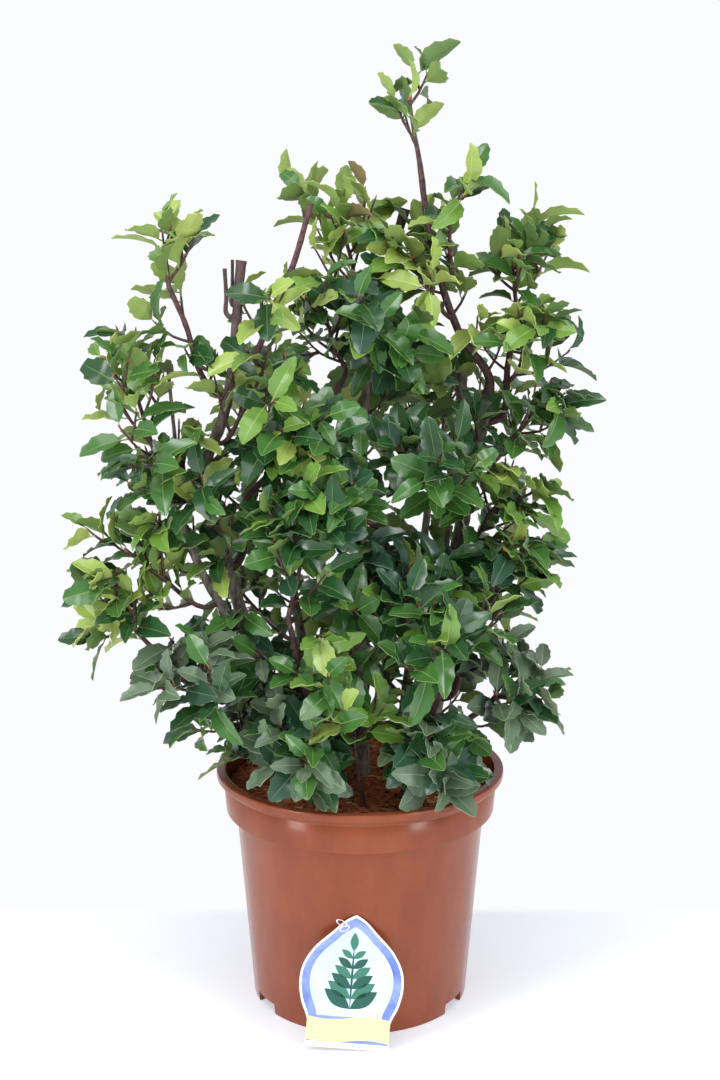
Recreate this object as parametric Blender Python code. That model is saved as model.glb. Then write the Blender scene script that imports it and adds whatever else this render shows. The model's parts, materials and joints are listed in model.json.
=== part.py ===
"""A potted blue holly shrub: a nursery pot with soil, upright woody stems, their boughs, and masses of leaves.

Metres, +Z up. The origin is the centre of the pot's flat underside. +X is the viewer's right and +Y is away.
"""

import math
import random
from collections import namedtuple

import bmesh
import bpy
from mathutils import Matrix, Vector
from mathutils.bvhtree import BVHTree

# Driving sizes of the pot
POT_HEIGHT = 0.185
RIM_RADIUS = 0.1117
LIP_DROP = 0.007
COLLAR_RADIUS = 0.1065
COLLAR_FOOT_RADIUS = 0.1045
COLLAR_HEIGHT = 0.036
COLLAR_STEP = 0.004
COLLAR_FOOT = POT_HEIGHT - COLLAR_HEIGHT
BODY_TOP_RADIUS = 0.0965
FOOT_RADIUS = 0.0842
WALL = 0.0020
FLOOR_HEIGHT = 0.010
FOOT_WIDTH = 0.0040
PAD_RADIUS = 0.016
DRAFT = 0.0025
EDGE_ROUND = 0.001
NOTCH_COUNT = 6
NOTCH_HEIGHT = 0.0085
NOTCH_WIDTH = 0.026
POT_SIDES = 36

# Soil and the care card
SOIL_TOP = 0.172
SOIL_SHOULDER = 0.0025
CLEARANCE = 0.0003
CARD_WIDTH = 0.077
CARD_HEIGHT = 0.100
CARD_THICKNESS = 0.0008
CARD_LEAN = math.radians(9.5)
CARD_TURN = math.radians(4.5)
CARD_X = -0.010

# Trunks and boughs
TRUNK_SIDES = 7
BOUGH_SIDES = 5
LIMB_RING_SPACING = 0.036
ROOT_DEPTH = 0.006
SHOOT_SAG = 0.06
FLATTEST_SIDE = 0.8
SEAT_STEP = 0.0001
SEAT_TRIES = 40
COLLAR_LEAN = 0.7
COLLAR_RISE = 1.6

# Stems and side twigs of the masses
STEM_SIDES = 4
STEM_RING_SPACING = 0.030
STEM_BASE_RADIUS = 0.0020
STEM_TIP_RADIUS = 0.0012
TWIG_SIDES = 3
TWIG_BASE_RADIUS = 0.0014
TWIG_TIP_RADIUS = 0.0010
TWIG_ANGLE = math.radians(48)
TWIG_REACH_SPREAD = (0.85, 1.15)
TWIG_TRIES = 8
FIRST_TWIG = 0.35
LAST_TWIG = 0.85

# Leaves
LEAF_LENGTH = 0.051
LEAF_WIDTH = 0.035
LEAF_BELLY = 0.45
LEAF_THICKNESS = 0.0012
LEAF_FOLD = 0.0045
LEAF_DROOP = 0.006
LEAF_ROOT = 0.0012
LEAF_ANGLE = math.radians(58)
LEAF_ANGLE_SPREAD = (0.75, 1.20)
LEAF_SIZE_SPREAD = (0.85, 1.05)
LEAF_SHRINK_PER_TRY = 0.02
LEAF_TRIES = 8
TIP_LEAF_LEAN = 0.45
TIP_PART = 0.97
BLADE_START = 0.008
LEAFY_PART = 0.84
LIGHT_FROM_TIP = 0.45
LIGHT_FROM_ABOVE = 0.45
LIGHT_FROM_OUTSIDE = 0.55

# Where shoots and leaves may go
GOLDEN_ANGLE = math.radians(137.5)
SHARP_ANGLE = math.radians(35)
CROWN_AXIS = (-0.02, 0.01)
CENTRE_POSITION = 0.7
SPACE_MARGIN = 0.0008
TOUCH_MARGIN = 0.0008
FIRST_SEED = 1000

Limb = namedtuple("Limb", "name parent at through tip base_radius tip_radius")
Mass = namedtuple("Mass", "name limb at through tip twigs reach leaves")
Grown = namedtuple("Grown", "path radii solid")

# A limb that stands in the soil gives x and y there. Any other gives how far along its parent it leaves it.
LIMBS = (
    Limb(
        "right_trunk", "soil", (0.052, 0.014),
        ((0.072, 0.018, 0.334),), (0.097, 0.020, 0.472), 0.0066, 0.0050,
    ),
    Limb(
        "leader", "right_trunk", 1.0,
        ((0.076, 0.020, 0.516), (0.052, 0.018, 0.590)), (0.044, 0.017, 0.642), 0.0040, 0.0026,
    ),
    Limb("fork_bough", "right_trunk", 0.93, ((0.112, 0.022, 0.495),), (0.117, 0.020, 0.530), 0.0034, 0.0026),
    Limb("cut_stub", "right_trunk", 0.70, ((0.079, 0.034, 0.435),), (0.077, 0.036, 0.487), 0.0044, 0.0042),
    Limb(
        "left_trunk", "soil", (-0.045, -0.010),
        ((-0.101, -0.018, 0.353), (-0.116, -0.020, 0.418), (-0.101, -0.020, 0.459)),
        (-0.0855, -0.020, 0.5735), 0.0056, 0.0034,
    ),
    Limb("left_shoot", "left_trunk", 0.76, ((-0.128, -0.026, 0.533),), (-0.136, -0.028, 0.552), 0.0028, 0.0022),
    Limb(
        "inner_shoot", "left_trunk", 0.82,
        ((-0.062, -0.022, 0.542), (-0.050, -0.024, 0.566)), (-0.035, -0.026, 0.614), 0.0030, 0.0025,
    ),
    Limb(
        "low_left_bough", "soil", (-0.044, -0.036),
        ((-0.107, -0.050, 0.243),), (-0.152, -0.052, 0.292), 0.0042, 0.0028,
    ),
    Limb(
        "left_bough", "soil", (-0.034, -0.024),
        ((-0.046, -0.028, 0.250), (-0.105, -0.038, 0.325)), (-0.142, -0.035, 0.408), 0.0044, 0.0027,
    ),
    Limb(
        "diagonal_bough", "left_trunk", 0.44,
        ((-0.088, -0.004, 0.390), (-0.047, 0.000, 0.433)), (-0.013, 0.000, 0.485), 0.0036, 0.0026,
    ),
    Limb(
        "centre_trunk", "soil", (0.002, 0.012),
        ((0.000, 0.030, 0.370), (0.013, 0.035, 0.540)), (0.034, 0.035, 0.610), 0.0056, 0.0034,
    ),
    Limb(
        "cross_bough", "right_trunk", 0.50,
        ((0.043, -0.012, 0.356),), (0.002, -0.036, 0.387), 0.0032, 0.0023,
    ),
    Limb(
        "right_low_bough", "right_trunk", 0.22,
        ((0.080, 0.006, 0.268),), (0.098, 0.004, 0.308), 0.0034, 0.0026,
    ),
    Limb(
        "low_right_bough", "soil", (0.055, -0.025),
        ((0.070, -0.035, 0.222),), (0.090, -0.043, 0.242), 0.0038, 0.0027,
    ),
    Limb(
        "front_left_stem", "soil", (-0.020, -0.044),
        ((-0.038, -0.052, 0.253),), (-0.051, -0.058, 0.310), 0.0038, 0.0027,
    ),
    Limb(
        "front_right_stem", "soil", (0.030, -0.040),
        ((0.045, -0.060, 0.225),), (0.058, -0.072, 0.262), 0.0032, 0.0024,
    ),
    Limb("front_sprig_stem", "soil", (0.004, -0.056), (), (-0.002, -0.070, 0.208), 0.0026, 0.0022),
    Limb(
        "back_left_stem", "soil", (-0.022, 0.040),
        ((-0.050, 0.075, 0.280),), (-0.066, 0.100, 0.390), 0.0048, 0.0028,
    ),
    Limb(
        "back_right_stem", "soil", (0.030, 0.042),
        ((0.045, 0.082, 0.280),), (0.058, 0.108, 0.390), 0.0048, 0.0028,
    ),
)

# Each mass has one stem that leaves a limb, side twigs of a given reach, and leaves on all of them.
MASSES = (
    Mass("leader_tip", "leader", 1.0, (), (0.036, 0.016, 0.688), 1, 0.025, 9),
    Mass("leader_right", "leader", 0.50, (), (0.066, 0.006, 0.614), 1, 0.03, 9),
    Mass("leader_left", "leader", 0.36, (), (0.038, -0.006, 0.575), 2, 0.03, 12),
    Mass("fork_top", "fork_bough", 1.0, (), (0.114, 0.018, 0.568), 3, 0.035, 15),
    Mass("fork_right", "fork_bough", 0.45, (), (0.130, 0.000, 0.520), 2, 0.03, 13),
    Mass("right_tip", "right_trunk", 0.82, ((0.120, 0.012, 0.445),), (0.139, 0.008, 0.466), 2, 0.03, 14),
    Mass("right_middle", "right_trunk", 0.62, ((0.100, 0.006, 0.385),), (0.112, 0.000, 0.398), 3, 0.035, 15),
    Mass("right_low", "right_low_bough", 1.0, (), (0.109, 0.000, 0.342), 3, 0.035, 14),
    Mass("low_right", "low_right_bough", 1.0, (), (0.103, -0.050, 0.256), 3, 0.032, 14),
    Mass("front_right", "front_right_stem", 1.0, (), (0.064, -0.080, 0.305), 3, 0.04, 15),
    Mass("front_sprig", "front_sprig_stem", 1.0, (), (-0.006, -0.084, 0.262), 2, 0.035, 13),
    Mass("front_left", "front_left_stem", 1.0, (), (-0.040, -0.062, 0.380), 3, 0.04, 15),
    Mass("low_left_tip", "low_left_bough", 1.0, (), (-0.180, -0.055, 0.330), 2, 0.03, 14),
    Mass("low_left_side", "low_left_bough", 0.62, (), (-0.128, -0.074, 0.276), 2, 0.03, 13),
    Mass("left_middle", "left_bough", 0.66, ((-0.145, -0.048, 0.345),), (-0.170, -0.050, 0.366), 2, 0.035, 14),
    Mass("far_left", "left_bough", 1.0, ((-0.151, -0.036, 0.440),), (-0.168, -0.036, 0.500), 4, 0.03, 16),
    Mass("left_inner", "left_trunk", 0.55, (), (-0.138, -0.050, 0.430), 2, 0.035, 13),
    Mass("left_peak", "left_shoot", 1.0, (), (-0.139, -0.028, 0.578), 1, 0.025, 9),
    Mass("inner_leaves", "inner_shoot", 0.30, (), (-0.070, -0.042, 0.548), 1, 0.03, 9),
    Mass("left_core", "left_trunk", 0.68, (), (-0.070, -0.036, 0.495), 2, 0.035, 13),
    Mass("diagonal_top", "diagonal_bough", 1.0, (), (-0.026, -0.006, 0.536), 3, 0.035, 15),
    Mass("diagonal_middle", "diagonal_bough", 0.55, (), (-0.052, -0.046, 0.455), 3, 0.04, 15),
    Mass("centre_peak", "centre_trunk", 0.80, ((-0.006, 0.030, 0.570),), (-0.016, 0.022, 0.606), 3, 0.035, 16),
    Mass("centre_top", "centre_trunk", 0.72, (), (0.022, -0.022, 0.530), 3, 0.04, 15),
    Mass("cross_tip", "cross_bough", 1.0, (), (-0.020, -0.054, 0.408), 3, 0.035, 14),
    Mass("centre_front", "right_trunk", 0.72, (), (0.048, -0.050, 0.440), 3, 0.04, 15),
    Mass("centre_low", "centre_trunk", 0.38, (), (0.014, -0.060, 0.335), 3, 0.04, 15),
    Mass("back_high", "centre_trunk", 0.62, (), (0.022, 0.100, 0.500), 3, 0.04, 14),
    Mass("back_left_top", "back_left_stem", 1.0, (), (-0.078, 0.110, 0.455), 3, 0.04, 14),
    Mass("back_left_side", "back_left_stem", 0.45, (), (-0.108, 0.088, 0.315), 3, 0.04, 14),
    Mass("back_right_top", "back_right_stem", 1.0, (), (0.072, 0.118, 0.455), 3, 0.04, 14),
    Mass("back_right_side", "back_right_stem", 0.45, (), (0.104, 0.086, 0.315), 3, 0.04, 14),
    Mass("back_low", "back_right_stem", 0.25, (), (0.000, 0.122, 0.262), 3, 0.04, 13),
    Mass("skirt_left", "left_trunk", 0.06, (), (-0.090, -0.008, 0.226), 2, 0.03, 12),
    Mass("skirt_front", "front_left_stem", 0.35, (), (-0.044, -0.090, 0.222), 2, 0.03, 12),
    Mass("skirt_right", "front_right_stem", 0.40, (), (0.052, -0.082, 0.226), 2, 0.03, 12),
)


def clear_scene():
    for thing in list(bpy.data.objects):
        bpy.data.objects.remove(thing, do_unlink=True)


def make_material(name, colour, roughness, metallic=0.0):
    material = bpy.data.materials.new(name)
    material.use_nodes = True
    shader = material.node_tree.nodes["Principled BSDF"]
    shader.inputs["Base Color"].default_value = (*colour, 1.0)
    shader.inputs["Roughness"].default_value = roughness
    shader.inputs["Metallic"].default_value = metallic
    material.diffuse_color = (*colour, 1.0)
    return material


def object_from(bm, name, material, smooth=False):
    bmesh.ops.recalc_face_normals(bm, faces=bm.faces)
    mesh = bpy.data.meshes.new(name)
    bm.to_mesh(mesh)
    bm.free()
    mesh.materials.append(material)
    if smooth:
        mesh.shade_smooth()
        mesh.set_sharp_from_angle(angle=SHARP_ANGLE)
    made = bpy.data.objects.new(name, mesh)
    bpy.context.scene.collection.objects.link(made)
    return made


def turned(profile, sides):
    """A solid turned about Z from a profile of (radius, height) points that starts and ends on the axis."""
    bm = bmesh.new()
    corners = [bm.verts.new((radius, 0.0, height)) for radius, height in profile]
    edges = [bm.edges.new((corners[i], corners[i + 1])) for i in range(len(corners) - 1)]
    bmesh.ops.spin(
        bm,
        geom=corners + edges,
        cent=(0.0, 0.0, 0.0),
        axis=(0.0, 0.0, 1.0),
        angle=2.0 * math.pi,
        steps=sides,
        use_merge=True,
    )
    bmesh.ops.remove_doubles(bm, verts=bm.verts, dist=1e-6)
    return bm


def body_radius(height):
    """Outer radius of the pot's tapering body at a height."""
    return FOOT_RADIUS + (BODY_TOP_RADIUS - FOOT_RADIUS) * height / COLLAR_FOOT


def make_pot(material):
    collar_top = POT_HEIGHT - LIP_DROP
    underside = FLOOR_HEIGHT - WALL
    outside = [
        (0.0, 0.0),
        (PAD_RADIUS, 0.0),
        (PAD_RADIUS + DRAFT, underside),
        (FOOT_RADIUS - FOOT_WIDTH - DRAFT, underside),
        (FOOT_RADIUS - FOOT_WIDTH, 0.0),
        (FOOT_RADIUS, 0.0),
        (BODY_TOP_RADIUS, COLLAR_FOOT),
        (COLLAR_FOOT_RADIUS, COLLAR_FOOT + COLLAR_STEP),
        (COLLAR_RADIUS, collar_top - EDGE_ROUND),
        (RIM_RADIUS, collar_top + EDGE_ROUND),
        (RIM_RADIUS, POT_HEIGHT - EDGE_ROUND),
        (RIM_RADIUS - EDGE_ROUND, POT_HEIGHT),
    ]
    inside = [
        (COLLAR_RADIUS - WALL, POT_HEIGHT),
        (COLLAR_FOOT_RADIUS - WALL, COLLAR_FOOT + COLLAR_STEP + WALL),
        (BODY_TOP_RADIUS - WALL, COLLAR_FOOT + WALL),
        (body_radius(FLOOR_HEIGHT) - WALL, FLOOR_HEIGHT),
        (0.0, FLOOR_HEIGHT),
    ]
    pot = object_from(turned(outside + inside, POT_SIDES), "pot", material, smooth=True)
    for index in range(NOTCH_COUNT):
        turn = -math.pi / 2 + index * 2.0 * math.pi / NOTCH_COUNT
        bm = bmesh.new()
        middle = FOOT_RADIUS - FOOT_WIDTH / 2
        place = Matrix.Rotation(turn, 4, "Z") @ Matrix.Translation((middle, 0.0, 0.0))
        size = Matrix.Diagonal((4.0 * FOOT_WIDTH, NOTCH_WIDTH, 2.0 * NOTCH_HEIGHT, 1.0))
        bmesh.ops.create_cube(bm, size=1.0, matrix=place @ size)
        cutter = object_from(bm, f"notch_cutter_{index + 1}", material)
        cutter.hide_render = True
        cutter.display_type = "WIRE"
        cut = pot.modifiers.new(f"notch_{index + 1}", "BOOLEAN")
        cut.operation = "DIFFERENCE"
        cut.object = cutter
    return pot


def make_soil(material):
    """The soil, which follows the pot's inside all round with a clearance and has a rounded edge on top."""
    bottom = FLOOR_HEIGHT + CLEARANCE
    gap = WALL + CLEARANCE
    profile = [
        (0.0, bottom),
        (body_radius(bottom) - gap, bottom),
        (BODY_TOP_RADIUS - gap, COLLAR_FOOT + WALL),
        (COLLAR_FOOT_RADIUS - gap - CLEARANCE, COLLAR_FOOT + COLLAR_STEP + WALL),
        (COLLAR_FOOT_RADIUS - gap, SOIL_TOP - EDGE_ROUND),
        (COLLAR_FOOT_RADIUS - gap - SOIL_SHOULDER, SOIL_TOP),
        (0.0, SOIL_TOP),
    ]
    return object_from(turned(profile, POT_SIDES), "soil", material)


def card_outline():
    """Half of the card's outline, from its top point down its right side: an onion dome on a spreading foot."""
    dome = [
        (0.0, 1.0),
        (0.16, 0.965),
        (0.45, 0.86),
        (0.78, 0.73),
        (0.96, 0.60),
        (1.0, 0.47),
        (0.94, 0.34),
        (0.80, 0.20),
        (0.78, 0.10),
        (0.84, 0.0),
    ]
    return [(across * CARD_WIDTH / 2, up * CARD_HEIGHT) for across, up in dome]


def make_card(material):
    right = card_outline()
    left = [(-x, z) for x, z in reversed(right[1:])]
    bm = bmesh.new()
    ring = [bm.verts.new((x, 0.0, z)) for x, z in right + left]
    face = bm.faces.new(ring)
    grown = bmesh.ops.extrude_face_region(bm, geom=[face])
    moved = [part for part in grown["geom"] if isinstance(part, bmesh.types.BMVert)]
    bmesh.ops.translate(bm, vec=(0.0, -CARD_THICKNESS, 0.0), verts=moved)
    lean = Matrix.Rotation(-CARD_LEAN, 4, "X") @ Matrix.Rotation(CARD_TURN, 4, "Y")
    bmesh.ops.transform(bm, matrix=lean, verts=bm.verts)
    lowest = min(vert.co.z for vert in bm.verts)
    bmesh.ops.translate(bm, vec=(CARD_X, 0.0, -lowest), verts=bm.verts)
    touch = max(vert.co.y + math.sqrt(body_radius(vert.co.z) ** 2 - vert.co.x**2) for vert in bm.verts)
    bmesh.ops.translate(bm, vec=(0.0, -touch - CLEARANCE, 0.0), verts=bm.verts)
    return object_from(bm, "care_card", material)


def curve_slopes(points):
    """The slope, per metre, of the smooth curve through the points at each of them."""
    chords = [there - here for here, there in zip(points, points[1:])]
    slopes = [chords[0].normalized()]
    for before, after in zip(chords, chords[1:]):
        shorter_counts_more = before.normalized() * after.length + after.normalized() * before.length
        slopes.append(shorter_counts_more / (before.length + after.length))
    slopes.append(chords[-1].normalized())
    return slopes


def smooth_path(points, spacing):
    """The smooth curve through the points, as steps of about the given spacing that keep every point."""
    slopes = curve_slopes(points)
    path = [points[0]]
    for index, (here, there) in enumerate(zip(points, points[1:])):
        length = (there - here).length
        steps = max(1, round(length / spacing))
        for step in range(1, steps + 1):
            part = step / steps
            path.append(
                here * (2 * part**3 - 3 * part**2 + 1)
                + slopes[index] * length * (part**3 - 2 * part**2 + part)
                + there * (3 * part**2 - 2 * part**3)
                + slopes[index + 1] * length * (part**3 - part**2)
            )
    return path


def point_along(path, position):
    """The point at a part of the way along a path, from 0 to 1, and the step of the path that holds it."""
    lengths = [(there - here).length for here, there in zip(path, path[1:])]
    left = position * sum(lengths)
    for span, length in enumerate(lengths):
        if left <= length or span == len(lengths) - 1:
            return path[span].lerp(path[span + 1], left / length), span
        left -= length


def directions(path):
    """The direction of travel at each point of a path."""
    last = len(path) - 1
    return [(path[min(i + 1, last)] - path[max(i - 1, 0)]).normalized() for i in range(last + 1)]


def frames(path, radii):
    """A matrix at each point of a path that carries a unit circle there, turned as little as it can be."""
    ways = directions(path)
    side = ways[0].orthogonal().normalized()
    found = []
    for point, way, radius in zip(path, ways, radii):
        side = (side - way * side.dot(way)).normalized()
        across = way.cross(side)
        turn = Matrix((side, across, way)).transposed().to_4x4()
        found.append(Matrix.Translation(point) @ turn @ Matrix.Diagonal((radius, radius, radius, 1.0)))
    return found


def tapered(base_radius, tip_radius, count):
    return [base_radius + (tip_radius - base_radius) * i / (count - 1) for i in range(count)]


def tube(path, base_radius, tip_radius, sides):
    """A closed tapering tube along a path: a circle, extruded from frame to frame and capped."""
    places = frames(path, tapered(base_radius, tip_radius, len(path)))
    bm = bmesh.new()
    bmesh.ops.create_circle(bm, segments=sides, radius=1.0, matrix=places[0])
    ring_edges = list(bm.edges)
    for here, there in zip(places, places[1:]):
        grown = bmesh.ops.extrude_edge_only(bm, edges=ring_edges)["geom"]
        ring = [part for part in grown if isinstance(part, bmesh.types.BMVert)]
        ring_edges = [part for part in grown if isinstance(part, bmesh.types.BMEdge)]
        ring_edges = [edge for edge in ring_edges if all(vert in ring for vert in edge.verts)]
        bmesh.ops.transform(bm, matrix=there @ here.inverted(), verts=ring)
    bmesh.ops.holes_fill(bm, edges=bm.edges)
    bmesh.ops.recalc_face_normals(bm, faces=bm.faces)
    return bm


def cut_flush(bm, point, normal):
    """Takes off what lies behind a plane and closes the cut."""
    geometry = list(bm.verts) + list(bm.edges) + list(bm.faces)
    bmesh.ops.bisect_plane(bm, geom=geometry, plane_co=point, plane_no=normal, clear_inner=True)
    bmesh.ops.holes_fill(bm, edges=[edge for edge in bm.edges if edge.is_boundary])


def search_tree(solids):
    """One search tree over the faces of several solids."""
    points = []
    faces = []
    for bm in solids:
        bm.verts.index_update()
        first = len(points)
        points.extend(vert.co.copy() for vert in bm.verts)
        faces.extend([vert.index + first for vert in face.verts] for face in bm.faces)
    return BVHTree.FromPolygons(points, faces)


def touches(bm, tree, margin):
    """Whether a solid, grown by a margin all over, cuts anything in a search tree."""
    larger = bm.copy()
    larger.normal_update()
    for vert in larger.verts:
        vert.co += vert.normal * margin
    hit = bool(search_tree([larger]).overlap(tree))
    larger.free()
    return hit


def leaving(parent, position, towards, radius):
    """How a shoot leaves its parent: its first two points, and the lowest plane that its foot may be cut to."""
    path = parent.path
    if position >= 1.0:
        way = directions(path)[-1]
        cut_point = path[-1] + way * CLEARANCE
        return [path[-1], cut_point + way * radius * COLLAR_RISE], cut_point, way
    axis_point, span = point_along(path, position)
    way = (path[span + 1] - path[span]).normalized()
    along = (towards - axis_point).dot(way)
    side = (towards - axis_point - way * along).normalized()
    surface = axis_point + side * parent.radii[span]
    collar = surface + (side + way * math.copysign(COLLAR_LEAN, along)) * radius * COLLAR_RISE
    return [axis_point, collar], axis_point + side * parent.radii[span + 1] * FLATTEST_SIDE, side


def seated(shoot, cut_point, cut_way, parent):
    """Cuts a shoot's foot to the lowest plane that keeps it clear of its parent."""
    tree = search_tree([parent.solid])
    for step in range(SEAT_TRIES):
        trial = shoot.copy()
        cut_flush(trial, cut_point + cut_way * SEAT_STEP * step, cut_way)
        if not touches(trial, tree, CLEARANCE):
            break
    return trial


def shoot_path(first_points, through, tip, spacing):
    """The path of a shoot. One with no point between sags a little, as a growing shoot does."""
    points = first_points + [Vector(point) for point in through] + [Vector(tip)]
    if not through:
        sag = (points[-1] - points[-2]).length * SHOOT_SAG
        points.insert(-1, points[-2].lerp(points[-1], 0.5) - Vector((0.0, 0.0, sag)))
    return smooth_path(points, spacing)


def make_limbs(material):
    """Every trunk and bough as its own object, with the path, radii and solid that shoots grow on."""
    grown = {}
    for limb in LIMBS:
        if limb.parent == "soil":
            cut_point = Vector((*limb.at, SOIL_TOP + CLEARANCE))
            cut_way = Vector((0.0, 0.0, 1.0))
            first_points = [cut_point - cut_way * ROOT_DEPTH]
        else:
            towards = Vector(limb.through[0] if limb.through else limb.tip)
            first_points, cut_point, cut_way = leaving(grown[limb.parent], limb.at, towards, limb.base_radius)
        path = shoot_path(first_points, limb.through, limb.tip, LIMB_RING_SPACING)
        sides = TRUNK_SIDES if limb.name.endswith("trunk") else BOUGH_SIDES
        solid = tube(path, limb.base_radius, limb.tip_radius, sides)
        if limb.parent == "soil":
            cut_flush(solid, cut_point, cut_way)
        else:
            solid = seated(solid, cut_point, cut_way, grown[limb.parent])
        object_from(solid.copy(), limb.name, material, smooth=True)
        grown[limb.name] = Grown(path, tapered(limb.base_radius, limb.tip_radius, len(path)), solid)
    return grown


def leaf_solid(place, length, width):
    """One leaf of eight faces, folded along its midrib and drooping at its tip, with its foot at the origin."""
    bm = bmesh.new()
    bmesh.ops.create_uvsphere(bm, u_segments=4, v_segments=2, radius=1.0)
    belly = LEAF_BELLY * length
    for vert in bm.verts:
        x, y, z = vert.co
        if abs(x) > 0.5:
            vert.co = (x * width / 2, belly, LEAF_FOLD)
        elif y > 0.5:
            vert.co = (0.0, length, -LEAF_DROOP)
        elif y < -0.5:
            vert.co = (0.0, 0.0, 0.0)
        else:
            vert.co = (0.0, belly, z * LEAF_THICKNESS / 2)
    bmesh.ops.transform(bm, matrix=place, verts=bm.verts)
    bmesh.ops.recalc_face_normals(bm, faces=bm.faces)
    return bm


def leaf_place(foot, way, side, angle):
    """A leaf's matrix. Its axis leans off the shoot, and its upper side faces the light outside the crown."""
    axis = way * math.cos(angle) + side * math.sin(angle)
    outward = Vector((foot.x, foot.y, 0.0)) - Vector((*CROWN_AXIS, 0.0))
    light = way * LIGHT_FROM_TIP + outward.normalized() * LIGHT_FROM_OUTSIDE
    light.z += LIGHT_FROM_ABOVE
    upper = (light - axis * light.dot(axis)).normalized()
    turn = Matrix((axis.cross(upper), axis, upper)).transposed().to_4x4()
    return Matrix.Translation(foot - axis * LEAF_ROOT) @ turn


def in_space(points, own, centres):
    """Whether points lie nearer to their own mass's centre than to any other centre, by a margin."""
    for other in centres:
        way = other - own
        if way.length == 0.0:
            continue
        limit = way.length / 2 - SPACE_MARGIN
        if any((point - own).dot(way.normalized()) > limit for point in points):
            return False
    return True


def sideways(way, turn):
    """A direction square to a shoot, turned about it."""
    return Matrix.Rotation(turn, 3, way) @ way.orthogonal().normalized()


def grow_twigs(mass, stem_path, own, centres, obstacles, rng):
    """The paths and solids of a mass's side twigs, each turned on from the last by the golden angle."""
    paths = []
    solids = []
    turn = rng.uniform(0.0, 2.0 * math.pi)
    for index in range(mass.twigs):
        position = FIRST_TWIG + (LAST_TWIG - FIRST_TWIG) * index / max(1, mass.twigs - 1)
        foot, span = point_along(stem_path, position)
        way = (stem_path[span + 1] - stem_path[span]).normalized()
        for attempt in range(TWIG_TRIES):
            turn += GOLDEN_ANGLE
            out = way * math.cos(TWIG_ANGLE) + sideways(way, turn) * math.sin(TWIG_ANGLE)
            tip = foot + out * mass.reach * rng.uniform(*TWIG_REACH_SPREAD)
            twig = tube([foot, tip], TWIG_BASE_RADIUS, TWIG_TIP_RADIUS, TWIG_SIDES)
            if in_space([tip], own, centres) and not touches(twig, obstacles, TOUCH_MARGIN):
                paths.append([foot, tip])
                solids.append(twig)
                break
            twig.free()
    return paths, solids


def leaf_spots(paths, count):
    """Shares leaves out over shoots by length, from each shoot's tip downwards."""
    lengths = [sum((b - a).length for a, b in zip(path, path[1:])) for path in paths]
    spots = []
    for path, length in zip(paths, lengths):
        share = max(2, round(count * length / sum(lengths)))
        spots.extend((path, 1.0 - LEAFY_PART * step / share) for step in range(share))
    return spots


def grow_leaves(spots, wood, own, centres, obstacles, rng):
    """The leaves that have room: in their mass's own space, clear of every limb and of each other."""
    leaves = []
    turn = rng.uniform(0.0, 2.0 * math.pi)
    for path, position in spots:
        foot, span = point_along(path, position)
        way = (path[span + 1] - path[span]).normalized()
        for attempt in range(LEAF_TRIES):
            turn += GOLDEN_ANGLE
            angle = LEAF_ANGLE * rng.uniform(*LEAF_ANGLE_SPREAD)
            if position > TIP_PART:
                angle *= TIP_LEAF_LEAN
            scale = rng.uniform(*LEAF_SIZE_SPREAD) - LEAF_SHRINK_PER_TRY * attempt
            length = LEAF_LENGTH * scale
            width = LEAF_WIDTH * scale
            place = leaf_place(foot, way, sideways(way, turn), angle)
            leaf = leaf_solid(place, length, width)
            blade_place = place @ Matrix.Translation((0.0, BLADE_START, 0.0))
            blade = leaf_solid(blade_place, length - BLADE_START, width)
            has_room = (
                in_space([vert.co for vert in leaf.verts], own, centres)
                and not touches(leaf, obstacles, TOUCH_MARGIN)
                and not touches(blade, search_tree(leaves + wood), TOUCH_MARGIN)
            )
            blade.free()
            if has_room:
                leaves.append(leaf)
                break
            leaf.free()
    return leaves


def keep_largest_shell(bm):
    """Fills what a union sealed inside and drops loose scraps, by keeping the shell with the most faces."""
    unseen = set(bm.faces)
    largest = set()
    while unseen:
        shell = {unseen.pop()}
        waiting = list(shell)
        while waiting:
            neighbours = {near for edge in waiting.pop().edges for near in edge.link_faces} & unseen
            unseen -= neighbours
            shell |= neighbours
            waiting.extend(neighbours)
        if len(shell) > len(largest):
            largest = shell
    bmesh.ops.delete(bm, geom=[face for face in bm.faces if face not in largest], context="FACES")


def join_mass(name, stem, pieces, material):
    """One Boolean union joins a mass's stem, twigs and leaves into one body."""
    joined = object_from(stem, name, material)
    helpers = bpy.data.collections.new(f"{name}_pieces")
    bpy.context.scene.collection.children.link(helpers)
    for index, bm in enumerate(pieces):
        piece = object_from(bm, f"{name}_piece_{index + 1}", material)
        bpy.context.scene.collection.objects.unlink(piece)
        helpers.objects.link(piece)
    union = joined.modifiers.new("union", "BOOLEAN")
    union.operation = "UNION"
    union.operand_type = "COLLECTION"
    union.collection = helpers
    union.solver = "EXACT"
    bpy.context.view_layer.update()
    result = bmesh.new()
    result.from_object(joined, bpy.context.evaluated_depsgraph_get())
    joined.modifiers.remove(union)
    keep_largest_shell(result)
    result.to_mesh(joined.data)
    result.free()
    for piece in list(helpers.objects):
        bpy.data.objects.remove(piece, do_unlink=True)
    bpy.data.collections.remove(helpers)


def solid_copy(made):
    bm = bmesh.new()
    bm.from_mesh(made.data)
    return bm


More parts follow.
